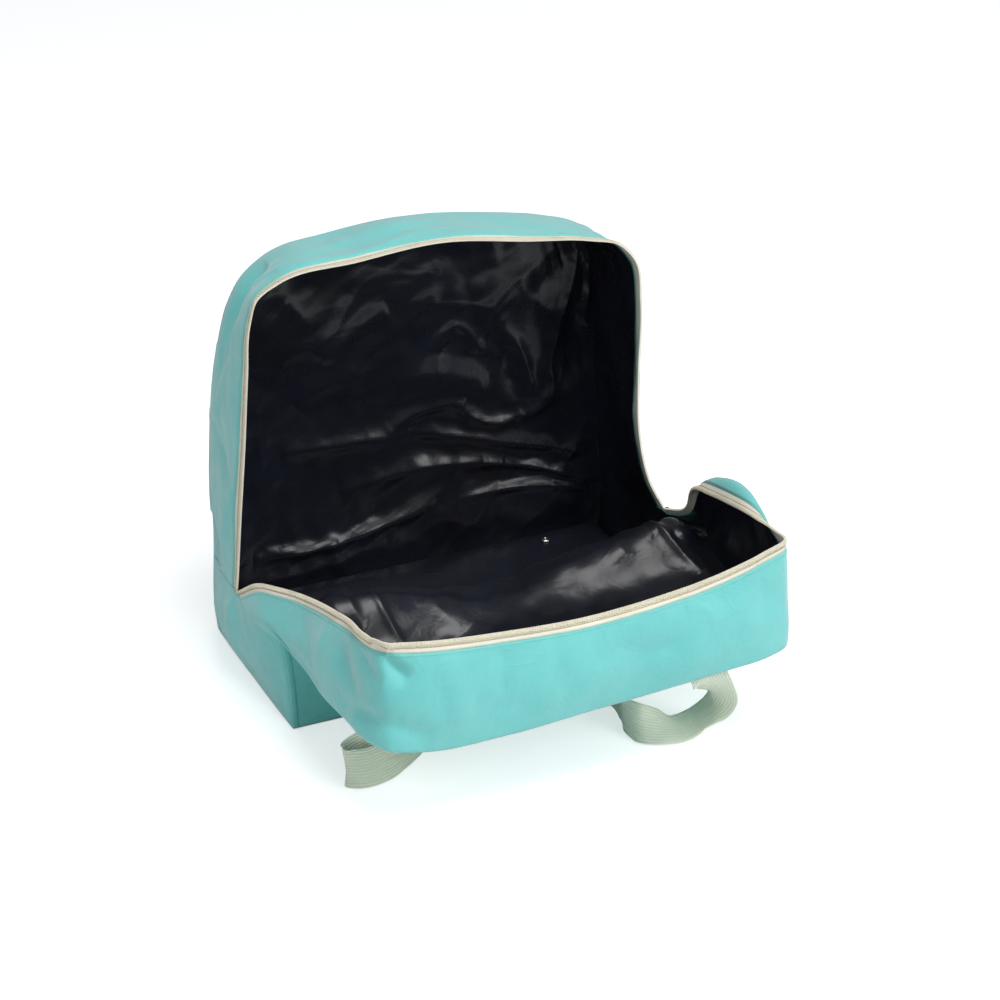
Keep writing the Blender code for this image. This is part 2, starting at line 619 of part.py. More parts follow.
def base_pad(finish):
    walls = FABRIC + LAYER_GAP + LINING + PAD_CLEARANCE
    size = (WIDTH - 2 * walls, DEPTH - 2 * walls, PAD_THICKNESS)
    bottom = FABRIC + LAYER_GAP
    return box("base_pad", size, (0, 0, bottom + PAD_THICKNESS / 2), finish, PAD_THICKNESS / 5)


def base_stud(finish):
    """The low round head of the rivet that shows on the base pad."""
    side, behind = STUD_PLACE
    bottom = FABRIC + LAYER_GAP + PAD_THICKNESS + SMALLEST_GAP
    mesh = bmesh.new()
    bmesh.ops.create_cone(
        mesh, cap_ends=True, segments=16, radius1=STUD_RADIUS, radius2=STUD_TOP_RADIUS, depth=STUD_HEIGHT
    )
    data = bpy.data.meshes.new("base_stud")
    mesh.to_mesh(data)
    mesh.free()
    data.materials.append(finish)
    made = bpy.data.objects.new("base_stud", data)
    made.location = (side * WIDTH / 2, behind * DEPTH / 2, bottom + STUD_HEIGHT / 2)
    bpy.context.collection.objects.link(made)


def zip_slider(gusset, finish):
    """The slider parked at the zip's right end, with its pull hanging down the outside."""
    stop = len(gusset) - 1 - FOLD_ROW * SIDE_STEPS
    place = gusset[stop, 0]
    out = place + np.array([SLIDER_CLEARANCE + SLIDER_SIZE[0] / 2, 0, -SLIDER_SIZE[2] / 2])
    return box("zip_slider", SLIDER_SIZE, out, finish, SLIDER_SIZE[0] / 5)


def main():
    empty_scene()
    cloth = material("aqua_fabric", (0.19, 0.60, 0.55), 0.55)
    inside = material("black_lining", (0.012, 0.012, 0.018), 0.35)
    tape = material("cream_tape", (0.75, 0.70, 0.55), 0.8)
    webbing = material("pale_green_webbing", (0.70, 0.78, 0.63), 0.85)
    metal = material("zip_metal", (0.75, 0.74, 0.70), 0.3, 1.0)
    parts = surfaces()
    shell = sewn_shell(parts)
    behind = FABRIC + LAYER_GAP
    for name in (*PANELS, *GUSSETS):
        peel(shell, name, 0.0, FABRIC, cloth)
    peel(shell, "back_panel", behind, behind + LINING, inside, "back_lining", lining_lift)
    peel(shell, "front_panel", behind, behind + LINING, inside, "front_lining")
    for name in GUSSETS:
        peel(shell, name, behind, behind + LINING, inside, name + "_lining")
    for name in ("back_zip_tape", "front_zip_tape"):
        peel(shell, name, 0.0, FABRIC, tape)
    front_seam = parts["front_gusset"][0][:, -1]
    corner_binding("corner_binding_left", front_seam, -1, cloth)
    corner_binding("corner_binding_right", front_seam[::-1], 1, cloth)
    base_pad(inside)
    base_stud(metal)
    zip_slider(parts["back_gusset"][0], metal)
    front_handle(parts["front_panel"][0], webbing)
    back_handle(parts["back_panel"][0], webbing)
    shell.free()


main()
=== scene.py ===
"""Looks of the sewing machine tote bag: aqua cloth, black vinyl lining, zip, webbing handles and base pad.

All lengths are metres in the part's own frame: X to the bag's right, -Y its front, Z up from the floor.
"""

import bpy
import numpy as np
from mathutils import Matrix, Vector
from mathutils.bvhtree import BVHTree


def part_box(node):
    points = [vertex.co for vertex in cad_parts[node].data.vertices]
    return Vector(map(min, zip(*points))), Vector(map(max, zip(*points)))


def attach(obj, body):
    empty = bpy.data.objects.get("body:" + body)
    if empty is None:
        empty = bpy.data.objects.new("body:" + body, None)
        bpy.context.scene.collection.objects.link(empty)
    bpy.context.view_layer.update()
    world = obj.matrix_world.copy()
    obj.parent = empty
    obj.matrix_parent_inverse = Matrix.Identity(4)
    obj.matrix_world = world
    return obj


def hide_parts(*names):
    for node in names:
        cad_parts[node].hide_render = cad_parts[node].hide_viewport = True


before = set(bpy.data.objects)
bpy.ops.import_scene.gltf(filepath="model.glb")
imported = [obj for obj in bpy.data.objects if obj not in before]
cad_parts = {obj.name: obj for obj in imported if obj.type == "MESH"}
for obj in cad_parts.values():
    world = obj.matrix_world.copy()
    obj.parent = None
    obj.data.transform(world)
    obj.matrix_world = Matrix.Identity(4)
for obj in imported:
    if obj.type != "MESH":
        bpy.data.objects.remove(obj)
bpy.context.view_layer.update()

# The bag's own lengths, as in the part's source.
WIDTH = 0.450
DEPTH = 0.220
HEIGHT = 0.440
HINGE_HEIGHT = 0.105
FOLD_HEIGHT = 0.120
TRAY_LENGTH = 0.220
FABRIC = 0.0018
LINING = 0.0012
LAYER_GAP = 0.0004
BACK_FULLNESS = 0.010
TRAY_SAG = 0.006
TAPE_WIDTH = 0.011
PAD_THICKNESS = 0.042
PAD_CLEARANCE = 0.004
BINDING_WIDTH = 0.006
BINDING_THICKNESS = 0.003
STRAP_WIDTH = 0.038
STRAP_THICKNESS = 0.0022
HANDLE_SPREAD = 0.270
BACK_LOOP_SLACK = 0.200

# How finely the surfaces are drawn.
SIDE_STEPS = 2  # times the fineness, between two rows along a side
TOP_STEPS = 3  # times the fineness, between two rows along the top or the far edge
ACROSS_STEPS = 5  # times the fineness, across the cloth of a gusset
TAPE_STEPS = 4  # across a zip tape
CLOTH_FINENESS = 8
LINING_FINENESS = 12
PROFILE_POINTS = 81
WELD = 1e-5  # under this two points are one
SOFTENING_ROUNDS = 8
FOLD_ROW = 2
BACK_CORNER_ROWS = (7, 14)
FRONT_CORNER_ROWS = (9, 16)
BACK_LEG_ROWS = (2, 8)
FRONT_LEG_ROWS = (6, 12)

BACK_SECTIONS = (
    # edge_side, edge_level, seam_side, seam_back, seam_level, bulge
    (-1.000, 0.000, -1.000, 1.00, 0.000, 0.00),
    (-1.115, 0.680, -1.005, 1.01, 0.290, 0.02),
    (-1.062, 1.000, -0.995, 1.05, 0.860, 0.03),
    (-1.031, 1.239, -0.985, 1.11, 1.194, 0.09),
    (-1.000, 1.463, -0.975, 1.06, 1.433, 0.09),
    (-0.973, 1.700, -0.950, 0.98, 1.642, 0.07),
    (-0.951, 1.869, -0.905, 0.90, 1.800, 0.03),
    (-0.916, 1.940, -0.835, 0.87, 1.890, 0.00),
    (-0.813, 1.982, -0.725, 0.90, 1.942, 0.02),
    (-0.444, 2.006, -0.400, 0.94, 1.976, 0.05),
    (-0.044, 2.020, -0.044, 0.95, 1.985, 0.06),
    (0.356, 1.976, 0.356, 0.95, 1.950, 0.05),
    (0.689, 1.937, 0.645, 0.93, 1.908, 0.03),
    (0.827, 1.907, 0.800, 0.92, 1.868, 0.01),
    (0.911, 1.842, 0.885, 0.92, 1.785, 0.01),
    (0.942, 1.700, 0.940, 0.97, 1.642, 0.04),
    (0.938, 1.439, 0.950, 1.00, 1.433, 0.06),
    (0.951, 1.239, 0.970, 1.00, 1.194, 0.06),
    (1.010, 1.069, 0.990, 1.00, 1.015, 0.05),
    (1.090, 0.880, 1.000, 1.00, 0.762, 0.04),
    (1.100, 0.520, 1.000, 1.02, 0.290, 0.02),
    (1.000, 0.000, 1.000, 1.00, 0.000, 0.00),
)

FRONT_SECTIONS = (
    # edge_side, edge_forward, edge_rise, seam_side, seam_forward, fold, bulge, lift, peak
    (-1.000, 0.000, 0.000, -1.000, 0.000, 0.00, 0.00, 0.00, 1.00),
    (-1.115, 0.000, 0.680, -1.005, -0.020, 0.48, 0.02, 0.00, 1.00),
    (-1.062, 0.000, 1.000, -1.015, -0.080, 0.88, 0.08, -0.05, 1.00),
    (-1.013, 0.118, 0.245, -1.020, 0.070, 0.89, 0.15, -0.10, 1.00),
    (-0.975, 0.195, 0.310, -1.025, 0.170, 0.86, 0.16, -0.12, 1.00),
    (-0.938, 0.279, 0.373, -1.030, 0.300, 0.84, 0.15, -0.11, 1.00),
    (-0.911, 0.470, 0.536, -1.030, 0.500, 0.82, 0.13, -0.07, 1.00),
    (-0.916, 0.655, 0.690, -1.018, 0.700, 0.83, 0.10, -0.04, 1.00),
    (-0.929, 0.818, 0.800, -1.000, 0.880, 0.82, 0.06, 0.00, 1.00),
    (-0.911, 0.925, 0.870, -0.935, 0.975, 0.79, 0.03, 0.00, 1.00),
    (-0.780, 0.942, 0.840, -0.780, 1.000, 0.73, 0.05, 0.00, 1.00),
    (-0.400, 0.940, 0.745, -0.400, 1.010, 0.71, 0.08, 0.00, 1.00),
    (0.000, 0.940, 0.700, 0.000, 1.010, 0.75, 0.09, 0.00, 1.00),
    (0.320, 0.940, 0.735, 0.320, 1.010, 0.78, 0.08, 0.00, 1.00),
    (0.620, 0.940, 0.815, 0.620, 1.005, 0.81, 0.06, 0.00, 1.00),
    (0.870, 0.940, 0.950, 0.850, 1.000, 0.84, 0.03, 0.00, 1.00),
    (0.955, 0.930, 0.990, 0.945, 0.970, 0.86, 0.02, 0.00, 1.00),
    (0.978, 0.840, 0.955, 0.998, 0.870, 0.87, 0.06, 0.02, 0.90),
    (0.978, 0.700, 0.880, 1.013, 0.680, 0.88, 0.14, 0.16, 0.60),
    (0.974, 0.560, 0.800, 1.022, 0.490, 0.89, 0.18, 0.28, 0.50),
    (0.965, 0.440, 0.730, 1.022, 0.310, 0.90, 0.18, 0.26, 0.50),
    (0.978, 0.320, 0.610, 1.022, 0.170, 0.92, 0.17, 0.16, 0.60),
    (1.028, 0.220, 0.260, 1.022, 0.070, 0.95, 0.11, 0.04, 0.90),
    (1.090, 0.000, 0.880, 1.015, -0.080, 0.93, 0.05, -0.05, 1.00),
    (1.100, 0.000, 0.520, 1.005, -0.020, 0.48, 0.02, 0.00, 1.00),
    (1.000, 0.000, 0.000, 1.000, 0.000, 0.00, 0.00, 0.00, 1.00),
)

# Dents as in the part: along and across are shares of the strip, the rest shares of half the base's depth.
BACK_DENTS = (
    # along, across, long, wide, turn, depth
    (0.300, 0.62, 0.62, 0.16, 0.010, 0.085),
    (0.215, 0.45, 0.55, 0.20, -0.015, 0.035),
    (0.470, 0.40, 0.90, 0.16, 0.010, 0.035),
    (0.840, 0.50, 0.60, 0.20, 0.000, 0.030),
)
FRONT_DENTS = (
    # along, across, long, wide, turn, depth
    (0.268, 0.36, 0.34, 0.13, 0.130, 0.075),
    (0.290, 0.78, 0.50, 0.12, 0.010, 0.045),
    (0.165, 0.70, 0.50, 0.16, 0.020, 0.035),
    (0.470, 0.55, 0.22, 0.12, 0.240, 0.030),
    (0.660, 0.45, 0.30, 0.14, 0.080, 0.030),
)

# How far the folded front stands up along its fold, from the left seam to the right one.
FOLD_HUMP = (
    # side, rise
    (-1.00, 0.006),
    (-0.80, 0.036),
    (-0.60, 0.034),
    (-0.40, 0.022),
    (-0.12, 0.007),
    (0.10, 0.005),
    (0.30, 0.015),
    (0.52, 0.020),
    (0.70, 0.027),
    (0.88, 0.027),
    (1.00, 0.008),
)
FOLD_HUMP_PLACE = 0.128  # up the front panel from the floor
FOLD_HUMP_REACH = 0.034

FRONT_HANDLE_BENDS = (
    # side, forward, rise, lean, heading
    (-0.604, 0.709, 0.638, 0.250, 0.50),
    (-0.617, 0.745, 0.553, 0.250, 0.50),
    (-0.640, 0.705, 0.471, 0.250, 0.50),
    (-0.680, 0.630, 0.418, 0.220, 0.50),
    (-0.755, 0.540, 0.340, 0.130, 0.45),
    (-0.845, 0.473, 0.241, 0.050, 0.40),
    (-0.916, 0.468, 0.000, 0.030, 0.35),
    (-0.942, 0.518, 0.000, 0.050, 0.25),
    (-0.890, 0.545, 0.000, 0.070, 0.25),
    (-0.782, 0.536, 0.000, 0.070, 0.25),
    (-0.649, 0.468, 0.000, 0.050, 0.25),
    (-0.490, 0.360, 0.000, 0.030, 0.25),
    (-0.290, 0.273, 0.000, 0.020, 0.25),
    (-0.045, 0.232, 0.000, 0.020, 0.25),
    (0.178, 0.214, 0.000, 0.020, 0.25),
    (0.325, 0.280, 0.000, 0.030, 0.25),
    (0.372, 0.400, 0.000, 0.040, 0.28),
    (0.358, 0.530, 0.000, 0.050, 0.25),
    (0.338, 0.630, 0.000, 0.065, 0.25),
    (0.369, 0.709, 0.000, 0.085, 0.25),
    (0.453, 0.745, 0.000, 0.150, 0.25),
    (0.542, 0.745, 0.000, 0.215, 0.25),
    (0.640, 0.732, 0.075, 0.245, 0.25),
    (0.711, 0.755, 0.184, 0.250, 0.26),
    (0.720, 0.800, 0.333, 0.250, 0.33),
    (0.662, 0.845, 0.510, 0.250, 0.43),
    (0.613, 0.868, 0.648, 0.250, 0.50),
    (0.600, 0.827, 0.698, 0.250, 0.50),
)

BACK_HANDLE_BENDS = (
    # side, out, drop, lean
    (-1.000, 0.15, -0.175, 0.250),
    (-1.000, 0.55, -0.265, 0.250),
    (-0.985, 1.00, -0.180, 0.250),
    (-0.935, 1.02, 0.025, 0.275),
    (-0.800, 0.90, 0.325, 0.310),
    (-0.540, 0.75, 0.600, 0.370),
    (-0.220, 0.62, 0.740, 0.460),
    (0.000, 0.60, 0.770, 0.500),
)

# Creases, each through three points of its cloth's own plane: along it, and across it from its first edge.
OUTER_CREASES = {
    # along_1, across_1, along_2, across_2, along_3, across_3, width, height
    "back_gusset": (
        (0.080, -0.060, 0.078, 0.000, 0.068, 0.060, 0.0150, 0.0030),
        (0.100, 0.060, 0.125, 0.085, 0.150, 0.100, 0.0200, -0.0060),
        (0.447, 0.071, 0.401, 0.076, 0.340, 0.086, 0.0160, -0.0085),
        (0.400, 0.080, 0.484, 0.020, 0.606, 0.034, 0.0060, 0.0026),
        (0.384, 0.040, 0.325, 0.058, 0.270, 0.064, 0.0080, 0.0030),
        (0.270, 0.074, 0.240, 0.055, 0.215, 0.018, 0.0100, -0.0032),
        (0.205, 0.014, 0.156, 0.036, 0.120, 0.036, 0.0090, 0.0025),
        (0.190, 0.072, 0.150, 0.070, 0.120, 0.040, 0.0110, -0.0028),
        (0.639, 0.088, 0.698, 0.050, 0.750, 0.019, 0.0130, -0.0025),
        (0.487, 0.076, 0.558, 0.084, 0.639, 0.088, 0.0140, -0.0025),
    ),
    "front_gusset": (
        (0.150, 0.052, 0.180, 0.085, 0.230, 0.100, 0.0090, -0.0030),
        (0.260, 0.010, 0.264, 0.027, 0.260, 0.048, 0.0040, 0.0020),
        (0.280, 0.005, 0.331, 0.014, 0.380, 0.039, 0.0090, -0.0045),
        (0.365, 0.001, 0.387, 0.016, 0.410, 0.031, 0.0070, -0.0055),
        (0.390, 0.010, 0.402, 0.022, 0.411, 0.034, 0.0110, -0.0045),
        (0.390, 0.004, 0.402, 0.014, 0.420, 0.024, 0.0060, 0.0022),
        (0.330, 0.080, 0.385, 0.074, 0.430, 0.082, 0.0080, -0.0030),
        (0.290, 0.084, 0.366, 0.068, 0.402, 0.066, 0.0080, -0.0022),
        (0.501, 0.014, 0.506, 0.030, 0.499, 0.053, 0.0090, -0.0020),
        (0.698, 0.018, 0.716, 0.023, 0.730, 0.046, 0.0100, 0.0022),
        (0.202, 0.014, 0.229, 0.041, 0.245, 0.062, 0.0130, -0.0025),
        (0.430, 0.018, 0.438, 0.041, 0.442, 0.066, 0.0150, -0.0022),
        (0.564, 0.014, 0.573, 0.032, 0.564, 0.058, 0.0130, 0.0018),
        (0.774, 0.010, 0.785, 0.034, 0.775, 0.062, 0.0130, -0.0022),
        (0.620, 0.030, 0.650, 0.048, 0.690, 0.052, 0.0120, -0.0018),
        (0.466, 0.060, 0.500, 0.068, 0.540, 0.066, 0.0120, -0.0018),
    ),
}
LINING_CREASES = {
    # along_1, across_1, along_2, across_2, along_3, across_3, width, height
    "back_panel": (
        (0.040, 0.074, 0.151, 0.071, 0.265, 0.093, 0.0070, 0.0065),
        (0.053, 0.081, 0.097, 0.071, 0.138, 0.074, 0.0045, 0.0025),
        (0.285, 0.092, 0.363, 0.097, 0.436, 0.086, 0.0050, 0.0042),
        (0.145, 0.122, 0.256, 0.136, 0.340, 0.137, 0.0130, 0.0070),
        (0.310, 0.138, 0.373, 0.126, 0.434, 0.098, 0.0080, 0.0050),
        (0.290, 0.117, 0.339, 0.117, 0.395, 0.108, 0.0090, -0.0030),
        (0.080, 0.171, 0.148, 0.172, 0.230, 0.175, 0.0090, 0.0050),
        (0.200, 0.177, 0.242, 0.203, 0.290, 0.213, 0.0075, 0.0048),
        (0.220, 0.178, 0.312, 0.169, 0.436, 0.154, 0.0090, 0.0055),
        (0.280, 0.214, 0.316, 0.190, 0.360, 0.203, 0.0065, 0.0048),
        (0.350, 0.200, 0.382, 0.218, 0.390, 0.262, 0.0065, 0.0050),
        (0.386, 0.250, 0.396, 0.319, 0.420, 0.410, 0.0090, 0.0062),
        (0.432, 0.330, 0.436, 0.367, 0.441, 0.402, 0.0070, 0.0040),
        (0.386, 0.400, 0.322, 0.345, 0.299, 0.268, 0.0180, 0.0070),
        (0.240, 0.330, 0.276, 0.328, 0.315, 0.331, 0.0030, 0.0012),
        (0.196, 0.326, 0.160, 0.301, 0.128, 0.268, 0.0170, 0.0055),
        (0.252, 0.272, 0.272, 0.303, 0.306, 0.272, 0.0080, 0.0040),
        (0.070, 0.373, 0.091, 0.342, 0.118, 0.312, 0.0100, 0.0035),
        (0.060, 0.225, 0.056, 0.190, 0.060, 0.155, 0.0050, 0.0025),
        (0.250, 0.087, 0.289, 0.069, 0.332, 0.047, 0.0130, 0.0040),
        (0.100, 0.220, 0.138, 0.243, 0.190, 0.250, 0.0180, 0.0040),
        (0.210, 0.234, 0.261, 0.247, 0.312, 0.237, 0.0160, 0.0040),
        (0.324, 0.305, 0.352, 0.277, 0.369, 0.225, 0.0100, 0.0040),
        (0.402, 0.110, 0.421, 0.165, 0.438, 0.215, 0.0080, 0.0035),
        (0.026, 0.050, 0.110, 0.046, 0.200, 0.060, 0.0120, 0.0040),
    ),
    "front_panel": (
        (0.408, 0.108, 0.416, 0.136, 0.434, 0.190, 0.0050, 0.0042),
        (0.400, 0.116, 0.414, 0.128, 0.426, 0.145, 0.0070, 0.0040),
        (0.422, 0.118, 0.442, 0.132, 0.430, 0.150, 0.0075, 0.0050),
        (0.380, 0.108, 0.394, 0.120, 0.408, 0.140, 0.0080, 0.0040),
        (0.360, 0.112, 0.366, 0.130, 0.370, 0.152, 0.0100, 0.0025),
        (0.436, 0.160, 0.440, 0.185, 0.436, 0.215, 0.0080, 0.0030),
        (0.092, 0.132, 0.097, 0.155, 0.106, 0.178, 0.0045, 0.0028),
        (0.044, 0.124, 0.056, 0.126, 0.066, 0.120, 0.0050, 0.0025),
        (0.062, 0.122, 0.065, 0.145, 0.073, 0.160, 0.0070, 0.0025),
        (0.150, 0.138, 0.160, 0.155, 0.172, 0.180, 0.0120, 0.0020),
        (0.250, 0.140, 0.262, 0.175, 0.268, 0.220, 0.0160, 0.0018),
    ),
}


# Curves and surfaces.


def unit(vectors):
    return vectors / np.linalg.norm(vectors, axis=-1, keepdims=True)


def smooth_path(points, steps):
    """A curve through all the points: between two of them a cubic whose ends have the mean slope there."""
    points = np.asarray(points, float)
    gaps = np.linalg.norm(np.diff(points, axis=0), axis=1)[:, None]
    slopes = np.diff(points, axis=0) / gaps
    middle = (slopes[:-1] * gaps[1:] + slopes[1:] * gaps[:-1]) / (gaps[1:] + gaps[:-1])
    tangents = np.vstack([slopes[:1], middle, slopes[-1:]])
    found = []
    for i, count in enumerate(steps):
        t = (np.arange(count) / count)[:, None]
        bend = (2 * t**3 - 3 * t**2 + 1) * points[i] + (3 * t**2 - 2 * t**3) * points[i + 1]
        lead = (t**3 - 2 * t**2 + t) * gaps[i] * tangents[i]
        found.append(bend + lead + (t**3 - t**2) * gaps[i] * tangents[i + 1])
    return np.vstack([*found, points[-1:]])


def folded_path(points, steps, sharp_rows):
    """smooth_path in stretches, so that the curve may turn sharply at the rows named."""
    ends = [0, *sharp_rows, len(points) - 1]
    stretches = [smooth_path(points[a : b + 1], steps[a:b]) for a, b in zip(ends, ends[1:])]
    return np.vstack([stretches[0], *(s[1:] for s in stretches[1:])])


def steps_of(table, corner_rows, fineness):
    first, last = corner_rows
    rows = range(len(table) - 1)
    return [(TOP_STEPS if first < i < last - 1 else SIDE_STEPS) * fineness for i in rows]


def height_at(level):
    """Level 0 is the floor, 1 the zip's end and 2 the top, and heights between them are even shares."""
    above = HINGE_HEIGHT + (level - 1) * (HEIGHT - HINGE_HEIGHT)
    return np.where(level < 1, level * HINGE_HEIGHT, above)


def path_lengths(points):
    return np.concatenate([[0], np.cumsum(np.linalg.norm(np.diff(points, axis=0), axis=1))])


def eased_rows(values, steps):
    """A table's column at every station: straight lines between rows, then twice a mean over half a row."""
    shares = np.concatenate([[0], np.cumsum(steps)]) / sum(steps)
    fine = np.interp(np.linspace(0, 1, sum(steps) + 1), shares, values)
    reach = steps[0] // 2
    window = np.ones(2 * reach + 1) / (2 * reach + 1)
    for _ in range(2):
        fine = np.convolve(np.pad(fine, reach, mode="edge"), window, mode="valid")
    return fine


def humps(a, b, table, spans, size):
    """The sum of a table's dents: each is exp(-(distance along / long)^2 - (distance off / wide)^2)."""
    total = np.zeros(np.broadcast(a, b).shape)
    for at_a, at_b, long, wide, turn, height in table:
        angle = 2 * np.pi * turn
        da, db = a - at_a * spans[0], b - at_b * spans[1]
        along = (da * np.cos(angle) + db * np.sin(angle)) / (long * size)
        off = (db * np.cos(angle) - da * np.sin(angle)) / (wide * size)
        total += height * np.exp(-(along**2) - off**2)
    return total


def carried(sections, kept):
    """The points at the distances kept[station, k] along every drawn section, in straight shares."""
    steps = np.linalg.norm(np.diff(sections, axis=1), axis=2)
    run = np.concatenate([np.zeros((len(sections), 1)), np.cumsum(steps, 1)], 1)
    after = np.clip((run[:, None, :] < kept[:, :, None]).sum(2), 1, run.shape[1] - 1)
    low, high = np.take_along_axis(run, after - 1, 1), np.take_along_axis(run, after, 1)
    station = np.arange(len(sections))[:, None]
    start, end = sections[station, after - 1], sections[station, after]
    return start + (end - start) * ((kept - low) / (high - low))[..., None]


def gusset_surface(edge, seam, bulge, lift, peak, dents, outwards, fineness):
    """Sections from zip edge to seam: the chord, plus sin(pi share^peak) times bulge out and lift up."""
    along = np.gradient(edge + seam, axis=0)
    normal = unit(np.cross(along, seam - edge)) * outwards
    share = np.linspace(0, 1, PROFILE_POINTS)
    reach = DEPTH / 2
    swell = np.sin(np.pi * share ** peak[:, None]) * reach
    run = path_lengths((edge + seam) / 2)[:, None]
    sunk = humps(run, share * reach, dents, (run[-1, 0], reach), reach) * reach * np.sin(np.pi * share)
    out = swell * bulge[:, None] - sunk
    fine = edge[:, None] + (seam - edge)[:, None] * share[:, None] + normal[:, None] * out[..., None]
    fine[..., 2] += swell * lift[:, None]
    length = np.linalg.norm(np.diff(fine, axis=1), axis=2).sum(1)[:, None]
    tape = np.linspace(0, TAPE_WIDTH, TAPE_STEPS + 1)[None].repeat(len(fine), 0)
    cloth = TAPE_WIDTH + (length - TAPE_WIDTH) * np.linspace(0, 1, ACROSS_STEPS * fineness + 1)[1:]
    return carried(fine, np.concatenate([tape, cloth], 1))


def back_gusset(fineness):
    rows = np.array(BACK_SECTIONS)
    edge_side, edge_level, seam_side, seam_back, seam_level, bulge = rows.T
    edge = np.stack([edge_side * WIDTH / 2, np.zeros(len(rows)), height_at(edge_level)], 1)
    seam = np.stack([seam_side * WIDTH / 2, seam_back * DEPTH / 2, height_at(seam_level)], 1)
    steps = steps_of(rows, BACK_CORNER_ROWS, fineness)
    sharp = (FOLD_ROW, len(rows) - 1 - FOLD_ROW)
    edge, seam = folded_path(edge, steps, sharp), smooth_path(seam, steps)
    bulge = eased_rows(bulge, steps)
    plain = np.zeros_like(bulge)
    return gusset_surface(edge, seam, bulge, plain, plain + 1, BACK_DENTS, 1, fineness)


def front_gusset(fineness):
    rows = np.array(FRONT_SECTIONS)
    edge_side, edge_forward, edge_rise, seam_side, seam_forward, fold, bulge, lift, peak = rows.T
    reach = DEPTH / 2 + TRAY_LENGTH
    rise = np.where(edge_forward > 0, HINGE_HEIGHT + edge_rise * DEPTH / 2, height_at(edge_rise))
    edge = np.stack([edge_side * WIDTH / 2, -edge_forward * reach, rise], 1)
    forward = -DEPTH / 2 - seam_forward * TRAY_LENGTH
    seam = np.stack([seam_side * WIDTH / 2, forward, fold * FOLD_HEIGHT], 1)
    steps = steps_of(rows, FRONT_CORNER_ROWS, fineness)
    sharp = (FOLD_ROW, len(rows) - 1 - FOLD_ROW)
    edge, seam = folded_path(edge, steps, sharp), folded_path(seam, steps, sharp)
    bulge, lift, peak = (eased_rows(values, steps) for values in (bulge, lift, peak))
    return gusset_surface(edge, seam, bulge, lift, peak, FRONT_DENTS, -1, fineness)


def patch(bottom, top, left, right):
    """A surface between four edges: the two ruled surfaces added, less the one through the corners."""
    s = np.linspace(0, 1, len(bottom))[:, None, None]
    t = np.linspace(0, 1, len(left))[None, :, None]
    ruled = (1 - t) * bottom[:, None] + t * top[:, None] + (1 - s) * left[None] + s * right[None]
    low = (1 - s) * bottom[0] + s * bottom[-1]
    high = (1 - s) * top[0] + s * top[-1]
    return ruled - (1 - t) * low - t * high


def pillow(surface):
    """The root of sin(pi s) sin(pi t): 1 in the middle of a surface and 0 along its edges."""
    across, up = (np.sin(np.pi * np.linspace(0, 1, n)) for n in surface.shape[:2])
    return np.sqrt(np.clip(across[:, None] * up[None], 0, 1))[..., None]


def split_seam(seam, table, corner_rows, fineness):
    steps = steps_of(table, corner_rows, fineness)
    first, last = (sum(steps[:row]) for row in corner_rows)
    return seam[: first + 1], seam[first : last + 1], seam[last:][::-1]


def cloth_plane(points):
    """A cloth's own flat coordinates: the lengths along its middle lines, both ways, at every point."""
    along = path_lengths(points[:, points.shape[1] // 2])[:, None]
    across = path_lengths(points[points.shape[0] // 2])[None]
    shape = np.zeros(points.shape[:2])
    return along + shape, across + shape


def surfaces(fineness):
    """The sewn shell's five surfaces as grids, each with whether its faces are turned to point outwards."""
    back, front = back_gusset(fineness), front_gusset(fineness)
    left, top, right = split_seam(back[:, -1], BACK_SECTIONS, BACK_CORNER_ROWS, fineness)
    low_back = np.linspace(left[0], right[0], len(top))
    back_panel = patch(low_back, top, left, right)
    back_panel += np.array([0, BACK_FULLNESS, 0]) * pillow(back_panel)
    left, far, right = split_seam(front[:, -1], FRONT_SECTIONS, FRONT_CORNER_ROWS, fineness)
    low_front = np.linspace(left[0], right[0], len(far))
    front_panel = patch(low_front, far, left, right)
    tray = front_panel[:, FOLD_ROW * SIDE_STEPS * fineness :]
    tray -= np.array([0, 0, TRAY_SAG]) * pillow(tray)
    front_panel[..., 2] += fold_hump(front_panel)
    side = np.vstack([front[0][::-1], back[0][1:]])
    other = np.vstack([front[-1][::-1], back[-1][1:]])
    base = patch(low_front, low_back, side, other)
    return {
        "back_gusset": (back, False),
        "front_gusset": (front, True),
        "back_panel": (back_panel, True),
        "front_panel": (front_panel, False),
        "base_panel": (base, True),
    }


def fold_hump(panel):
    """The rise of the folded front: its height over the side, times exp(-(distance from the fold)^2)."""
    side, rise = np.array(FOLD_HUMP).T
    height = np.interp(panel[..., 0], side * WIDTH / 2, rise)
    across = np.linspace(0, 1, panel.shape[0])[:, None]
    near_seam = np.clip(np.minimum(across, 1 - across) * 12, 0, 1)
    up = cloth_plane(panel)[1]
    return height * near_seam * np.exp(-(((up - FOLD_HUMP_PLACE) / FOLD_HUMP_REACH) ** 2))


# The sewn shell as one welded mesh, softened and creased.


def welded(grids):
    """All the grids' points with shared ones merged: the points, and each grid's own point numbers."""
    points = np.concatenate([g.reshape(-1, 3) for g in grids.values()])
    keys = np.round(points / WELD).astype(np.int64)
    _, first, number = np.unique(keys, axis=0, return_index=True, return_inverse=True)
    number = number.ravel()
    numbers, start = {}, 0
    for name, g in grids.items():
        size = g.shape[0] * g.shape[1]
        numbers[name] = number[start : start + size].reshape(g.shape[:2])
        start += size
    return points[first], numbers


def quads_of(number, flip):
    a, b, c, d = number[:-1, :-1], number[1:, :-1], number[1:, 1:], number[:-1, 1:]
    quads = np.stack([a, b, c, d], -1).reshape(-1, 4)
    return quads[:, ::-1] if flip else quads


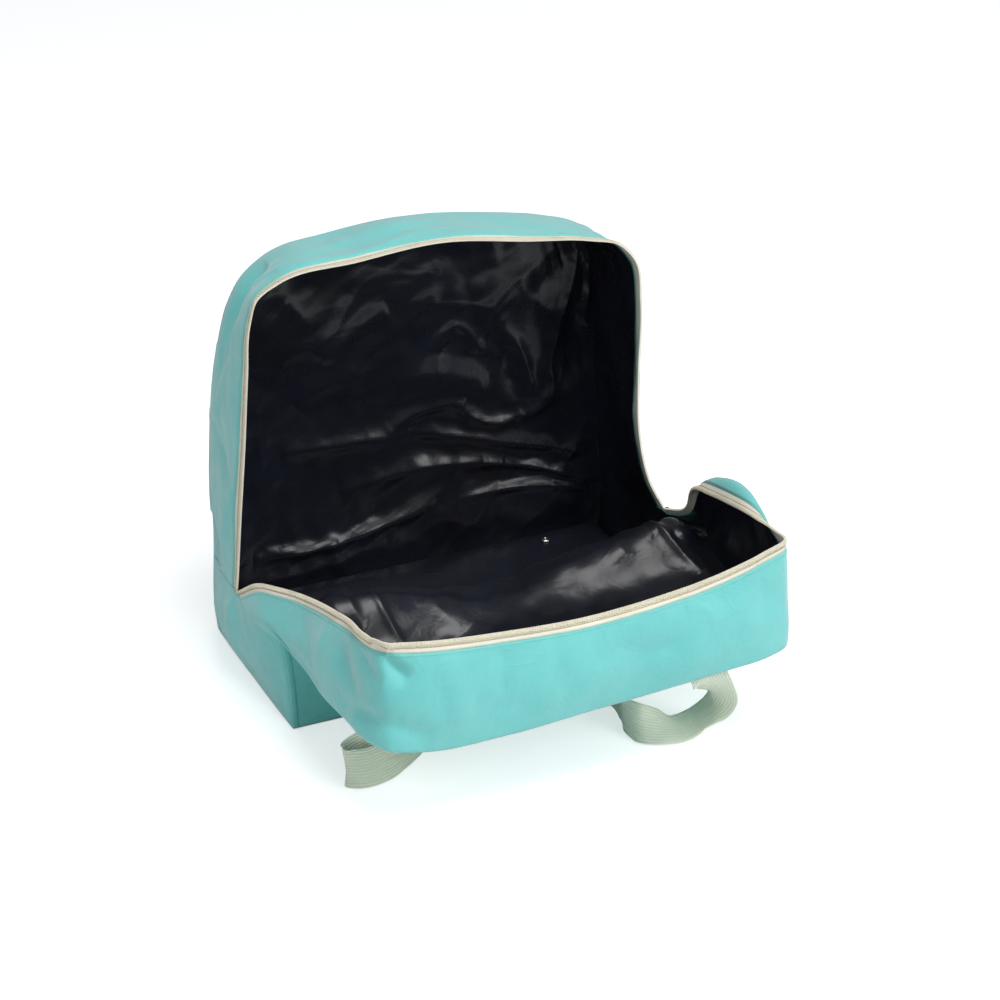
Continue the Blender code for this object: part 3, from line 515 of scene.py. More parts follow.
def point_normals(points, quads):
    """At each point the sum, made unit, of its faces' normals, each the cross product of two diagonals."""
    p = points[quads]
    face = np.cross(p[:, 2] - p[:, 0], p[:, 3] - p[:, 1])
    spots = quads.ravel()
    sums = [np.bincount(spots, np.repeat(face[:, k], 4), len(points)) for k in range(3)]
    return unit(np.stack(sums, 1))


def relaxed(points, quads, rounds):
    """In each round every free point goes halfway to the mean of its neighbours. Open edges stay."""
    sides = np.sort(np.stack([quads, np.roll(quads, -1, 1)], -1).reshape(-1, 2), axis=1)
    edges, uses = np.unique(sides, axis=0, return_counts=True)
    a, b = edges.T
    size = len(points)
    free = np.full((size, 3), 0.5)
    free[np.unique(edges[uses == 1])] = 0
    free[points[:, 2] < WELD, 2] = 0
    count = np.bincount(np.concatenate([a, b]), minlength=size)[:, None]
    for _ in range(rounds):
        near = [np.bincount(a, points[b, k], size) + np.bincount(b, points[a, k], size) for k in range(3)]
        points = points + (np.stack(near, 1) / count - points) * free
    return points


def rumple(along, across, wave, seed):
    """Soft unevenness from -1 to 1: the mean of twelve sines of seeded directions, lengths and phases."""
    chance = np.random.default_rng(seed)
    total = np.zeros_like(along)
    for turn, phase, stretch in chance.random((12, 3)):
        angle = 2 * np.pi * turn
        way = along * np.cos(angle) + across * np.sin(angle)
        total += np.sin(2 * np.pi * (way / (wave * (0.7 + 0.6 * stretch)) + phase))
    return total / 12**0.5


def creases(along, across, table):
    """The sum of creases: height times exp(-(distance / width)^1.5), fading to both ends of each arc."""
    total = np.zeros_like(along)
    t = np.linspace(0, 1, 49)
    share = np.stack([(1 - t) * (1 - 2 * t), 4 * t * (1 - t), t * (2 * t - 1)], 1)
    for row in table:
        arc = share @ np.array(row[:6]).reshape(3, 2)
        width, height = row[6:]
        reach = 3.5 * width
        low, high = arc.min(0) - reach, arc.max(0) + reach
        near = (along > low[0]) & (along < high[0]) & (across > low[1]) & (across < high[1])
        spots = np.stack([along[near], across[near]], 1)
        gaps = np.linalg.norm(spots[:, None] - arc[None], axis=2)
        nearest = gaps.argmin(1)
        off = gaps[np.arange(len(spots)), nearest]
        fade = (4 * t * (1 - t))[nearest] ** 0.5
        total[near] += height * fade * np.exp(-((off / width) ** 1.5))
    return total


def seam_fade(along, across, reach):
    """0 on a surface's edges and 1 beyond the reach, in an even slope."""
    near_ends = np.minimum(along, along.max() - along)
    near_sides = np.minimum(across, across.max() - across)
    return np.clip(np.minimum(near_ends, near_sides) / reach, 0, 1)


def outer_relief(name, grid):
    """How far the cloth stands off its plain shape: long waves, shorter ones and its table of creases."""
    along, across = cloth_plane(grid)
    seed = list(OUTER_ROUGHNESS).index(name)
    long_wave, short_wave = OUTER_ROUGHNESS[name]
    waves = rumple(along, across, 0.110, 10 + seed) * long_wave
    waves += rumple(along, across, 0.034, 20 + seed) * short_wave
    fade = seam_fade(along, across, 0.020)
    return waves * fade + creases(along, across, OUTER_CREASES.get(name, ()))


OUTER_ROUGHNESS = {
    # long waves, short waves
    "back_gusset": (0.0013, 0.00035),
    "front_gusset": (0.0012, 0.00035),
    "back_panel": (0.0020, 0.0004),
    "front_panel": (0.0016, 0.0004),
    "base_panel": (0.0, 0.0),
}


LINING_LOOSENESS = {"front_panel": 0.15, "front_gusset": 0.8}


def lining_relief(name, grid):
    """How far the lining stands off the cloth inwards: ridges where two waves cross, and its creases."""
    along, across = cloth_plane(grid)
    seed = list(OUTER_ROUGHNESS).index(name)
    broad = np.abs(rumple(along, across, 0.130, 30 + seed))
    fine = np.abs(rumple(along, across, 0.050, 40 + seed))
    share = LINING_LOOSENESS.get(name, 1.0)
    loose = 0.0016 * (1 - np.clip(broad, 0, 1)) ** 1.5 + 0.0003 * (1 - np.clip(fine, 0, 1)) ** 2
    loose *= share
    folds = np.maximum(creases(along, across, LINING_CREASES.get(name, ())), -0.0012)
    return (loose + folds) * seam_fade(along, across, 0.012)


class Shell:
    """The sewn shell at one fineness: each surface's points, outward normals and flat coordinates."""

    def __init__(self, fineness):
        made = surfaces(fineness)
        grids = {name: grid for name, (grid, _) in made.items()}
        points, self.numbers = welded(grids)
        quads = np.concatenate([quads_of(self.numbers[n], flip) for n, (_, flip) in made.items()])
        points = relaxed(points, quads, SOFTENING_ROUNDS)
        normals = point_normals(points, quads)
        spots = np.concatenate([n.ravel() for n in self.numbers.values()])
        relief = np.concatenate([outer_relief(n, g).ravel() for n, g in grids.items()])
        shared = np.bincount(spots, minlength=len(points))
        points = points + normals * (np.bincount(spots, relief, len(points)) / shared)[:, None]
        points[:, 2] = np.maximum(points[:, 2], 0)
        self.skin = BVHTree.FromPolygons(points.tolist(), quads.tolist())
        self.fold = FOLD_ROW * SIDE_STEPS * fineness
        self.fineness = fineness
        self.flips = {name: flip for name, (_, flip) in made.items()}
        normals = point_normals(points, quads)
        self.points = {name: points[n] for name, n in self.numbers.items()}
        self.normals = {name: normals[n] for name, n in self.numbers.items()}
        self.planes = {name: np.stack(cloth_plane(g), -1) for name, g in grids.items()}
        self.relief = {name: lining_relief(name, g) for name, g in grids.items()}

    def cut(self, piece):
        """A cloth piece's part of each array: points, normals, flat coordinates and the lining's relief."""
        arrays = (self.points, self.normals, self.planes, self.relief)
        return [self.cut_of(a, piece) for a in arrays]

    def cut_of(self, arrays, piece):
        if piece in ("side_left", "side_right"):
            front, back = arrays["front_gusset"], arrays["back_gusset"]
            rows = slice(0, self.fold + 1) if piece == "side_left" else slice(-self.fold - 1, None)
            return np.concatenate([front[rows, ::-1], back[rows, 1:]], axis=1)
        if piece.endswith("zip_tape"):
            strip = arrays[piece.replace("zip_tape", "gusset")]
            return strip[self.fold : len(strip) - self.fold, : TAPE_STEPS + 1]
        if piece.endswith("gusset"):
            return arrays[piece][self.fold : len(arrays[piece]) - self.fold, TAPE_STEPS:]
        return arrays[piece]

    def flip(self, piece):
        if piece.startswith("side"):
            return False
        return self.flips[piece.replace("zip_tape", "gusset")]


# Meshes.


def mesh_object(name, points, faces, finish, uv=None):
    """An object from point and face arrays, with flat coordinates in metres as its UV map."""
    mesh = bpy.data.meshes.new(name)
    mesh.from_pydata(points.tolist(), [], faces.tolist() if hasattr(faces, "tolist") else faces)
    mesh.materials.append(finish)
    mesh.shade_smooth()
    if uv is not None:
        corners = np.zeros(len(mesh.loops), np.int32)
        mesh.loops.foreach_get("vertex_index", corners)
        layer = mesh.uv_layers.new(name="cloth")
        layer.data.foreach_set("uv", uv[corners].astype(np.float32).ravel())
    made = bpy.data.objects.new(name, mesh)
    bpy.context.scene.collection.objects.link(made)
    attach(made, "root")
    return made


def outline(number):
    """The numbers round a grid's border, in order."""
    sides = (number[:, 0], number[-1, 1:], number[-2::-1, -1], number[0, -2:0:-1])
    return np.concatenate(sides)


def two_layers(name, outer, inner, flat, flip, finish):
    """A closed cloth: the outer grid, the inner grid turned round, and a strip that joins their borders."""
    size = outer.shape[0] * outer.shape[1]
    number = np.arange(size).reshape(outer.shape[:2])
    rim = outline(number)
    after = np.roll(rim, -1)
    border = np.stack([after, rim, rim + size, after + size], 1)
    border = border[:, ::-1] if flip else border
    faces = np.concatenate([quads_of(number, flip), quads_of(number + size, not flip), border])
    points = np.concatenate([outer.reshape(-1, 3), inner.reshape(-1, 3)])
    uv = np.concatenate([flat.reshape(-1, 2)] * 2)
    return mesh_object(name, points, faces, finish, uv)


def one_layer(name, points, flat, flip, finish):
    number = np.arange(points.shape[0] * points.shape[1]).reshape(points.shape[:2])
    return mesh_object(name, points.reshape(-1, 3), quads_of(number, flip), finish, flat.reshape(-1, 2))


def tube(name, path, across, upwards, ring, finish, uv=None):
    """A closed profile carried along a path: point + ring x times across + ring y times upwards."""
    x, y = ring[..., 0], ring[..., 1]
    points = path[:, None] + across[:, None] * x[..., None] + upwards[:, None] * y[..., None]
    stations, sides = points.shape[:2]
    number = np.arange(stations * sides).reshape(stations, sides)
    number = np.concatenate([number, number[:, :1]], 1)
    faces = quads_of(number, False).tolist()
    faces.append(number[0, :-1].tolist())
    faces.append(number[-1, -2::-1].tolist())
    return mesh_object(name, points.reshape(-1, 3), faces, finish, uv)


def round_ring(radius_x, radius_y, sides):
    angle = np.linspace(0, 2 * np.pi, sides, endpoint=False)
    return np.stack([radius_x * np.cos(angle), radius_y * np.sin(angle)], 1)


# Node groups for effects that several finishes share.


def new_group(name, inputs, outputs):
    """An empty node group with named sockets: each input and output is (name, type, value)."""
    group = bpy.data.node_groups.new(name, "ShaderNodeTree")
    for title, kind, value in inputs:
        socket = group.interface.new_socket(title, in_out="INPUT", socket_type=kind)
        if value is not None:
            socket.default_value = value
    for title, kind in outputs:
        group.interface.new_socket(title, in_out="OUTPUT", socket_type=kind)
    return group, group.nodes.new("NodeGroupInput"), group.nodes.new("NodeGroupOutput")


def math(tree, operation, *values, clamp=False):
    """A Math node on values or sockets, and its result."""
    made = tree.nodes.new("ShaderNodeMath")
    made.operation = operation
    made.use_clamp = clamp
    for place, value in enumerate(values):
        plug(tree, value, made.inputs[place])
    return made.outputs[0]


def plug(tree, value, socket):
    if isinstance(value, bpy.types.NodeSocket):
        tree.links.new(value, socket)
    else:
        socket.default_value = value


def weave_group():
    """Plain weave: warp and weft threads as |sin| ridges, one over the other by the sign of their product."""
    inputs = [("Place", "NodeSocketVector", None), ("Threads", "NodeSocketFloat", 1000.0)]
    group, given, result = new_group("plain weave", inputs, [("Height", "NodeSocketFloat")])
    apart = group.nodes.new("ShaderNodeSeparateXYZ")
    group.links.new(given.outputs["Place"], apart.inputs[0])
    waves = []
    for axis in ("X", "Y"):
        turns = math(group, "MULTIPLY", apart.outputs[axis], given.outputs["Threads"])
        waves.append(math(group, "SINE", math(group, "MULTIPLY", turns, np.pi)))
    over = math(group, "MULTIPLY", waves[0], waves[1])
    over = math(group, "MULTIPLY_ADD", over, 2.0, 0.5, clamp=True)
    warp, weft = (math(group, "ABSOLUTE", w) for w in waves)
    top = math(group, "MULTIPLY", warp, over)
    under = math(group, "MULTIPLY", weft, math(group, "SUBTRACT", 1.0, over))
    group.links.new(math(group, "ADD", top, under), result.inputs["Height"])
    return group


def rumple_group():
    """Creased skin: 1 less the distance of a noise from its middle value, which is high along thin lines."""
    inputs = [
        ("Place", "NodeSocketVector", None),
        ("Scale", "NodeSocketFloat", 30.0),
        ("Sharpness", "NodeSocketFloat", 3.0),
    ]
    outputs = [("Height", "NodeSocketFloat"), ("Mask", "NodeSocketFloat")]
    group, given, result = new_group("creased skin", inputs, outputs)
    noise = group.nodes.new("ShaderNodeTexNoise")
    noise.inputs["Detail"].default_value = 3.0
    noise.inputs["Distortion"].default_value = 0.6
    group.links.new(given.outputs["Place"], noise.inputs["Vector"])
    group.links.new(given.outputs["Scale"], noise.inputs["Scale"])
    off = math(group, "ABSOLUTE", math(group, "SUBTRACT", noise.outputs["Fac"], 0.5))
    ridge = math(group, "SUBTRACT", 1.0, math(group, "MULTIPLY", off, 4.0), clamp=True)
    group.links.new(math(group, "POWER", ridge, given.outputs["Sharpness"]), result.inputs["Height"])
    group.links.new(noise.outputs["Fac"], result.inputs["Mask"])
    return group


def tint_group():
    """Two tints of one colour, mixed by a large and a small noise."""
    inputs = [
        ("Place", "NodeSocketVector", None),
        ("Light", "NodeSocketColor", (1, 1, 1, 1)),
        ("Dark", "NodeSocketColor", (0, 0, 0, 1)),
        ("Scale", "NodeSocketFloat", 8.0),
    ]
    outputs = [("Color", "NodeSocketColor"), ("Mask", "NodeSocketFloat")]
    group, given, result = new_group("uneven tint", inputs, outputs)
    noise = group.nodes.new("ShaderNodeTexNoise")
    noise.inputs["Detail"].default_value = 6.0
    noise.inputs["Roughness"].default_value = 0.62
    group.links.new(given.outputs["Place"], noise.inputs["Vector"])
    group.links.new(given.outputs["Scale"], noise.inputs["Scale"])
    share = math(group, "MULTIPLY_ADD", noise.outputs["Fac"], 2.6, -0.8, clamp=True)
    mix = group.nodes.new("ShaderNodeMix")
    mix.data_type = "RGBA"
    group.links.new(share, mix.inputs["Factor"])
    group.links.new(given.outputs["Light"], mix.inputs["A"])
    group.links.new(given.outputs["Dark"], mix.inputs["B"])
    group.links.new(mix.outputs["Result"], result.inputs["Color"])
    group.links.new(share, result.inputs["Mask"])
    return group


def rib_group():
    """Ribs across a webbing, |sin| of the way across, each notched along its length by its picks; its second
    output, 1 less the rib, is where painted shade goes in the grooves.
    """
    inputs = [
        ("Place", "NodeSocketVector", None),
        ("Ribs", "NodeSocketFloat", 340.0),
        ("Picks", "NodeSocketFloat", 500.0),
    ]
    outputs = [("Height", "NodeSocketFloat"), ("Groove shade", "NodeSocketFloat")]
    group, given, result = new_group("webbing ribs", inputs, outputs)
    apart = group.nodes.new("ShaderNodeSeparateXYZ")
    group.links.new(given.outputs["Place"], apart.inputs[0])
    turns = math(group, "MULTIPLY", math(group, "MULTIPLY", apart.outputs["Y"], given.outputs["Ribs"]), np.pi)
    rib = math(group, "ABSOLUTE", math(group, "SINE", turns))
    side = math(group, "SIGN", math(group, "SINE", turns))
    steps = math(group, "MULTIPLY", math(group, "MULTIPLY", apart.outputs["X"], given.outputs["Picks"]), np.pi)
    pick = math(group, "ABSOLUTE", math(group, "SINE", math(group, "MULTIPLY_ADD", side, 0.8, steps)))
    height = math(group, "MULTIPLY_ADD", pick, 0.35, rib)
    group.links.new(height, result.inputs["Height"])
    group.links.new(math(group, "SUBTRACT", 1.0, rib), result.inputs["Groove shade"])
    return group


GROUPS = {
    "weave": weave_group(),
    "rumple": rumple_group(),
    "tint": tint_group(),
    "ribs": rib_group(),
}


def use_group(tree, name, **values):
    made = tree.nodes.new("ShaderNodeGroup")
    made.node_tree = GROUPS[name]
    for title, value in values.items():
        plug(tree, value, made.inputs[title])
    return made


def new_material(name, **sockets):
    made = bpy.data.materials.new(name)
    made.use_nodes = True
    tree = made.node_tree
    shader = tree.nodes["Principled BSDF"]
    for title, value in sockets.items():
        shader.inputs[title.replace("_", " ")].default_value = value
    return made, tree, shader


def bumps(tree, shader, *layers):
    """Bump nodes in a chain: each layer is (height socket, distance in metres, strength)."""
    normal = None
    for height, distance, strength in layers:
        made = tree.nodes.new("ShaderNodeBump")
        made.inputs["Distance"].default_value = distance
        made.inputs["Strength"].default_value = strength
        tree.links.new(height, made.inputs["Height"])
        if normal is not None:
            tree.links.new(normal, made.inputs["Normal"])
        normal = made.outputs["Normal"]
    tree.links.new(normal, shader.inputs["Normal"])


def places(tree):
    """The object's own coordinates and the cloth's flat ones."""
    made = tree.nodes.new("ShaderNodeTexCoord")
    return made.outputs["Object"], made.outputs["UV"]


def scaled(tree, low, high, socket):
    made = tree.nodes.new("ShaderNodeMapRange")
    made.inputs["To Min"].default_value = low
    made.inputs["To Max"].default_value = high
    tree.links.new(socket, made.inputs["Value"])
    return made.outputs["Result"]


def coated_cloth():
    made, tree, shader = new_material(
        "aqua coated cloth", Sheen_Weight=0.50, Sheen_Roughness=0.6, Specular_IOR_Level=0.45
    )
    solid, flat = places(tree)
    tint = use_group(tree, "tint", Place=solid, Light=(0.150, 0.620, 0.600, 1), Dark=(0.120, 0.550, 0.530, 1))
    tree.links.new(tint.outputs["Color"], shader.inputs["Base Color"])
    tree.links.new(scaled(tree, 0.42, 0.56, tint.outputs["Mask"]), shader.inputs["Roughness"])
    weave = use_group(tree, "weave", Place=flat, Threads=1400.0)
    soft = use_group(tree, "rumple", Place=solid, Scale=22.0, Sharpness=1.6)
    small = use_group(tree, "rumple", Place=solid, Scale=75.0, Sharpness=2.0)
    bumps(
        tree,
        shader,
        (soft.outputs["Height"], 0.0018, 0.30),
        (small.outputs["Height"], 0.0004, 0.25),
        (weave.outputs["Height"], 0.0002, 0.35),
    )
    return made


def black_vinyl():
    made, tree, shader = new_material("black vinyl lining", Specular_IOR_Level=0.45)
    solid, flat = places(tree)
    tint = use_group(
        tree, "tint", Place=solid, Light=(0.013, 0.015, 0.025, 1), Dark=(0.007, 0.007, 0.009, 1), Scale=5.0
    )
    tree.links.new(tint.outputs["Color"], shader.inputs["Base Color"])
    tree.links.new(scaled(tree, 0.22, 0.34, tint.outputs["Mask"]), shader.inputs["Roughness"])
    large = use_group(tree, "rumple", Place=solid, Scale=11.0, Sharpness=2.5)
    fine = use_group(tree, "rumple", Place=solid, Scale=60.0, Sharpness=3.0)
    grain = use_group(tree, "weave", Place=flat, Threads=900.0)
    bumps(
        tree,
        shader,
        (large.outputs["Height"], 0.0012, 0.25),
        (fine.outputs["Height"], 0.0002, 0.30),
        (grain.outputs["Height"], 0.0001, 0.10),
    )
    return made


def zip_cloth(name, light, dark, threads):
    made, tree, shader = new_material(name, Roughness=0.85, Sheen_Weight=0.3)
    solid, flat = places(tree)
    tint = use_group(tree, "tint", Place=solid, Light=light, Dark=dark, Scale=25.0)
    tree.links.new(tint.outputs["Color"], shader.inputs["Base Color"])
    weave = use_group(tree, "weave", Place=flat, Threads=threads)
    bumps(tree, shader, (weave.outputs["Height"], 0.0004, 0.5))
    return made


def nylon(name, light, dark, roughness):
    made, tree, shader = new_material(name, Roughness=roughness, Specular_IOR_Level=0.5)
    solid, _ = places(tree)
    tint = use_group(tree, "tint", Place=solid, Light=light, Dark=dark, Scale=60.0)
    tree.links.new(tint.outputs["Color"], shader.inputs["Base Color"])
    fine = use_group(tree, "rumple", Place=solid, Scale=400.0, Sharpness=1.0)
    bumps(tree, shader, (fine.outputs["Height"], 0.0001, 0.3))
    return made


def ribbed_webbing():
    made, tree, shader = new_material("pale green webbing", Roughness=0.8, Sheen_Weight=0.4)
    solid, flat = places(tree)
    tint = use_group(
        tree, "tint", Place=solid, Light=(0.94, 0.98, 0.84, 1), Dark=(0.86, 0.92, 0.75, 1), Scale=14.0
    )
    ribs = use_group(tree, "ribs", Place=flat)
    # Painted shade: the base colour is multiplied darker in the grooves between the ribs.
    groove_shade = tree.nodes.new("ShaderNodeMix")
    groove_shade.data_type = "RGBA"
    groove_shade.blend_type = "MULTIPLY"
    groove_shade.inputs["B"].default_value = (0.84, 0.90, 0.74, 1)
    tree.links.new(math(tree, "POWER", ribs.outputs["Groove shade"], 2.0), groove_shade.inputs["Factor"])
    tree.links.new(tint.outputs["Color"], groove_shade.inputs["A"])
    tree.links.new(groove_shade.outputs["Result"], shader.inputs["Base Color"])
    bumps(tree, shader, (ribs.outputs["Height"], 0.0008, 0.8))
    return made


def plain_metal(name, colour):
    made, tree, shader = new_material(name, Metallic=1.0)
    solid, _ = places(tree)
    tint = use_group(tree, "tint", Place=solid, Light=(*colour, 1), Dark=(*(c * 0.75 for c in colour), 1))
    tree.links.new(tint.outputs["Color"], shader.inputs["Base Color"])
    tree.links.new(scaled(tree, 0.16, 0.34, tint.outputs["Mask"]), shader.inputs["Roughness"])
    scratches = use_group(tree, "rumple", Place=solid, Scale=300.0, Sharpness=6.0)
    bumps(tree, shader, (scratches.outputs["Height"], 0.0001, 0.2))
    return made


CLOTH = coated_cloth()
VINYL = black_vinyl()
TAPE = zip_cloth("cream zip tape", (0.90, 0.87, 0.74, 1), (0.82, 0.78, 0.64, 1), 900.0)
COIL = nylon("cream zip teeth", (0.90, 0.85, 0.70, 1), (0.78, 0.71, 0.55, 1), 0.5)
# The zip's stitching is real, but its dark tan colour is painted shade: it stands for the shade line between the
# coil and the tape.
TAN_THREAD_AND_SHADE = nylon("tan zip stitching and painted shade line", (0.52, 0.41, 0.26, 1), (0.44, 0.34, 0.21, 1), 0.7)
AQUA_THREAD = nylon("aqua sewing thread", (0.24, 0.62, 0.56, 1), (0.18, 0.52, 0.47, 1), 0.7)
GREEN_THREAD = nylon("pale green sewing thread", (0.60, 0.72, 0.52, 1), (0.50, 0.62, 0.43, 1), 0.7)
WEBBING = ribbed_webbing()
BRIGHT_METAL = plain_metal("polished nickel", (0.83, 0.81, 0.76))


# The cloth pieces.

CUTS = {
    # each piece's cut before sewing: width, length
    "base_panel": (0.450, 0.220),
    "back_panel": (0.440, 0.440),
    "front_panel": (0.450, 0.350),
    "back_gusset": (0.105, 1.100),
    "front_gusset": (0.115, 0.930),
    "side_left": (0.220, 0.110),
    "side_right": (0.220, 0.110),
    "back_zip_tape": (0.011, 1.110),
    "front_zip_tape": (0.011, 0.930),
}
LINING_NODES = {
    "back_panel": "back_lining",
    "front_panel": "front_lining",
    "back_gusset": "back_gusset_lining",
    "front_gusset": "front_gusset_lining",
    "side_left": "side_left_lining",
    "side_right": "side_right_lining",
}
TAPE_SINK = 0.0007  # of the zip tape under the cloth's turned edge
TAPE_THICKNESS = 0.0009


def outer_cloth(shell):
    for name in CUTS:
        points, normals, flat, _ = shell.cut(name)
        near, far, finish = 0.0, FABRIC, CLOTH
        if name.endswith("tape"):
            near, far, finish = TAPE_SINK, TAPE_SINK + TAPE_THICKNESS, TAPE
        outer, inner = points - normals * near, points - normals * far
        outer[..., 2] = np.maximum(outer[..., 2], 0)
        made = two_layers(name + "_cloth", outer, inner, flat, shell.flip(name), finish)
        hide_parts(name)


def pinched(skin, points, normals, depth):
    """The depth under each point; where the far side of a tight fold is nearer, half the way to it."""
    flat = depth.reshape(-1).copy()
    for i, (p, n) in enumerate(zip(points.reshape(-1, 3), normals.reshape(-1, 3))):
        inwards = Vector(-n)
        hit = skin.ray_cast(Vector(p) + inwards * 0.0003, inwards, 2 * flat[i] + 0.001)
        if hit[0] is not None and hit[1].dot(inwards) > 0:
            flat[i] = min(flat[i], hit[3] / 2)
    return flat.reshape(depth.shape)


def lining_cloth(shell):
    """The lining's seen face: the outer point, less its normal times both cloths' depth and the relief."""
    for name, node in LINING_NODES.items():
        points, normals, flat, relief = shell.cut(name)
        depth = pinched(shell.skin, points, normals, FABRIC + LAYER_GAP + LINING + relief)[..., None]
        flip = not shell.flip(name)
        made = one_layer(node + "_vinyl", points - normals * depth, flat, flip, VINYL)
        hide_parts(node)


# Base pad.

PAD_VOXEL = 0.006
PAD_PRESSURE = 4.0
PAD_FRAMES = 20
PAD_REACH = 0.003  # the most that a point of the pad moves


def padded_base():
    """A box, remeshed and blown up as cloth, then kept inside the space of the CAD pad."""
    low, high = (np.array(corner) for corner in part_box("base_pad"))
    shrink = PAD_REACH
    inner_low, inner_high = low + shrink, high - shrink
    corners = np.array([[x, y, z] for x in (0, 1) for y in (0, 1) for z in (0, 1)])
    points = inner_low + corners * (inner_high - inner_low)
    faces = np.array([[0, 1, 3, 2], [4, 6, 7, 5], [0, 4, 5, 1], [2, 3, 7, 6], [0, 2, 6, 4], [1, 5, 7, 3]])
    pad = mesh_object("base_pad_cushion", points, faces, VINYL)
    settle = pad.modifiers.new("voxels", "REMESH")
    settle.mode = "VOXEL"
    settle.voxel_size = PAD_VOXEL
    bake_modifiers(pad)
    blow_up(pad)
    place = np.array([v.co for v in pad.data.vertices])
    place = np.clip(place, low, high)
    pad.data.vertices.foreach_set("co", place.ravel())
    pad.data.shade_smooth()
    smoothing = pad.modifiers.new("smooth_skin", "SUBSURF")
    smoothing.levels = smoothing.render_levels = 1
    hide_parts("base_pad")
    return pad


def bake_modifiers(piece):
    """The modifiers' result as the piece's own mesh, with its finish kept."""
    finish = piece.data.materials[0]
    ready = piece.evaluated_get(bpy.context.evaluated_depsgraph_get())
    mesh = bpy.data.meshes.new_from_object(ready)
    piece.modifiers.clear()
    piece.data = mesh
    mesh.materials.clear()
    mesh.materials.append(finish)


def blow_up(pad):
    """Cloth under pressure for some frames; no point goes further than the reach from where it was."""
    rest = np.array([v.co for v in pad.data.vertices])
    cloth = pad.modifiers.new("swelling", "CLOTH")
    cloth.settings.use_pressure = True
    cloth.settings.uniform_pressure_force = PAD_PRESSURE
    cloth.settings.effector_weights.gravity = 0
    for number in range(1, PAD_FRAMES + 1):
        bpy.context.scene.frame_set(number)
    bake_modifiers(pad)
    bpy.context.scene.frame_set(1)
    moved = np.array([v.co for v in pad.data.vertices]) - rest
    far = np.linalg.norm(moved, axis=1, keepdims=True)
    moved *= np.minimum(1, PAD_REACH / np.maximum(far, 1e-9))
    pad.data.vertices.foreach_set("co", (rest + moved).ravel())


# Zip.

COIL_PITCH = 0.0026
COIL_HALF_WIDTH = 0.0024
COIL_HALF_HEIGHT = 0.0010
COIL_WIRE = 0.00045
COIL_TURN_POINTS = 8
STITCH_PLACE = 0.0058  # of the tan stitching, from the zip's edge
STITCH_RADIUS = 0.00045


def resampled(path, step, *others):
    """A path and arrays along it, at even steps of its length."""
    run = path_lengths(path)
    at = np.linspace(0, run[-1], int(run[-1] / step) + 1)
    made = [np.stack([np.interp(at, run, a[:, k]) for k in range(3)], 1) for a in (path, *others)]
    return at, made


def zip_coil(name, tape_points, tape_normals, node):
    """A wire round the tape's edge: centre + across cos(turn) half width + normal sin(turn) half height."""
    edge = tape_points[:, 0]
    inwards = unit(tape_points[:, 1] - tape_points[:, 0])
    step = COIL_PITCH / COIL_TURN_POINTS
    at, (edge, inwards, normals) = resampled(edge, step, inwards, tape_normals[:, 0])
    turn = (2 * np.pi * at / COIL_PITCH)[:, None]
    centre = edge + inwards * COIL_HALF_WIDTH
    path = centre + inwards * np.cos(turn) * COIL_HALF_WIDTH + normals * np.sin(turn) * COIL_HALF_HEIGHT
    outward = unit(inwards * np.cos(turn) + normals * np.sin(turn))
    along = unit(np.gradient(path, axis=0))
    beside = unit(np.cross(along, outward))
    made = tube(name, path, beside, outward, round_ring(COIL_WIRE, COIL_WIRE, 4)[None], COIL)
    return made


def zip_stitching(name, points, normals, place, radius, finish, sink):
    """A thread along a tape at one distance from its edge, thick and thin by turns as stitches are."""
    inwards = unit(points[:, 1] - points[:, 0])
    line = points[:, 0] + inwards * place - normals[:, 0] * sink
    at, (line, inwards, normals) = resampled(line, 0.0011, inwards, normals[:, 0])
    swell = 0.55 + 0.45 * np.abs(np.sin(np.pi * at / 0.0033))
    ring = round_ring(radius, radius * 0.7, 5)[None] * swell[:, None, None]
    made = tube(name, line, inwards, normals, ring, finish)
    return made


def zips(shell):
    for half in ("back", "front"):
        points, normals, _, _ = shell.cut(half + "_zip_tape")
        zip_coil(half + "_zip_teeth", points, normals, half)
        # The tan thread is real stitching that also paints the shade line beside the coil.
        zip_stitching(half + "_zip_stitching", points, normals, STITCH_PLACE, STITCH_RADIUS, TAN_THREAD_AND_SHADE, 0.0003)
        points, normals, _, _ = shell.cut(half + "_gusset")
        zip_stitching(half + "_edge_stitching", points, normals, 0.0025, 0.0004, AQUA_THREAD, -0.0001)


# Handles.

RIBS = 13
RIB_DEPTH = 0.00035


def row_point(line, x):
    return np.array([np.interp(x, line[:, 0], line[:, k]) for k in range(3)])


def leg_on_panel(points, x, rows, side):
    """A strap sewn on a panel's outer face: per row, its middle and the way of its width."""
    centre, ways = [], []
    for row in rows:
        line, beside = points[:, row], points[:, row + 1]
        left, at, right = (row_point(line, x + share * STRAP_WIDTH / 2) for share in (-1, 0, 1))
        tangent = unit(right - left)
        normal = unit(np.cross(tangent, row_point(beside, x) - at)) * side
        centre.append((left + right + 2 * at) / 4 + normal * (STRAP_THICKNESS / 2 + 0.0008))
        ways.append(-tangent)
    return np.array(centre), np.array(ways)


def width_ways(lean, heading):
    lean, heading = lean * 2 * np.pi, heading * 2 * np.pi
    return np.stack([np.sin(lean) * np.cos(heading), np.sin(lean) * np.sin(heading), np.cos(lean)], 1)


def webbing_ring():
    """Half width x from -1 to 1 and back, half thickness raised along each rib: two points to a rib."""
    x = np.linspace(-1, 1, 2 * RIBS + 1)
    rise = STRAP_THICKNESS / 2 - RIB_DEPTH * (np.arange(len(x)) % 2 == 0)
    rise[[0, -1]] = STRAP_THICKNESS / 4
    upper = np.stack([x * STRAP_WIDTH / 2, rise], 1)
    return np.concatenate([upper, upper[::-1] * (1, -1)])


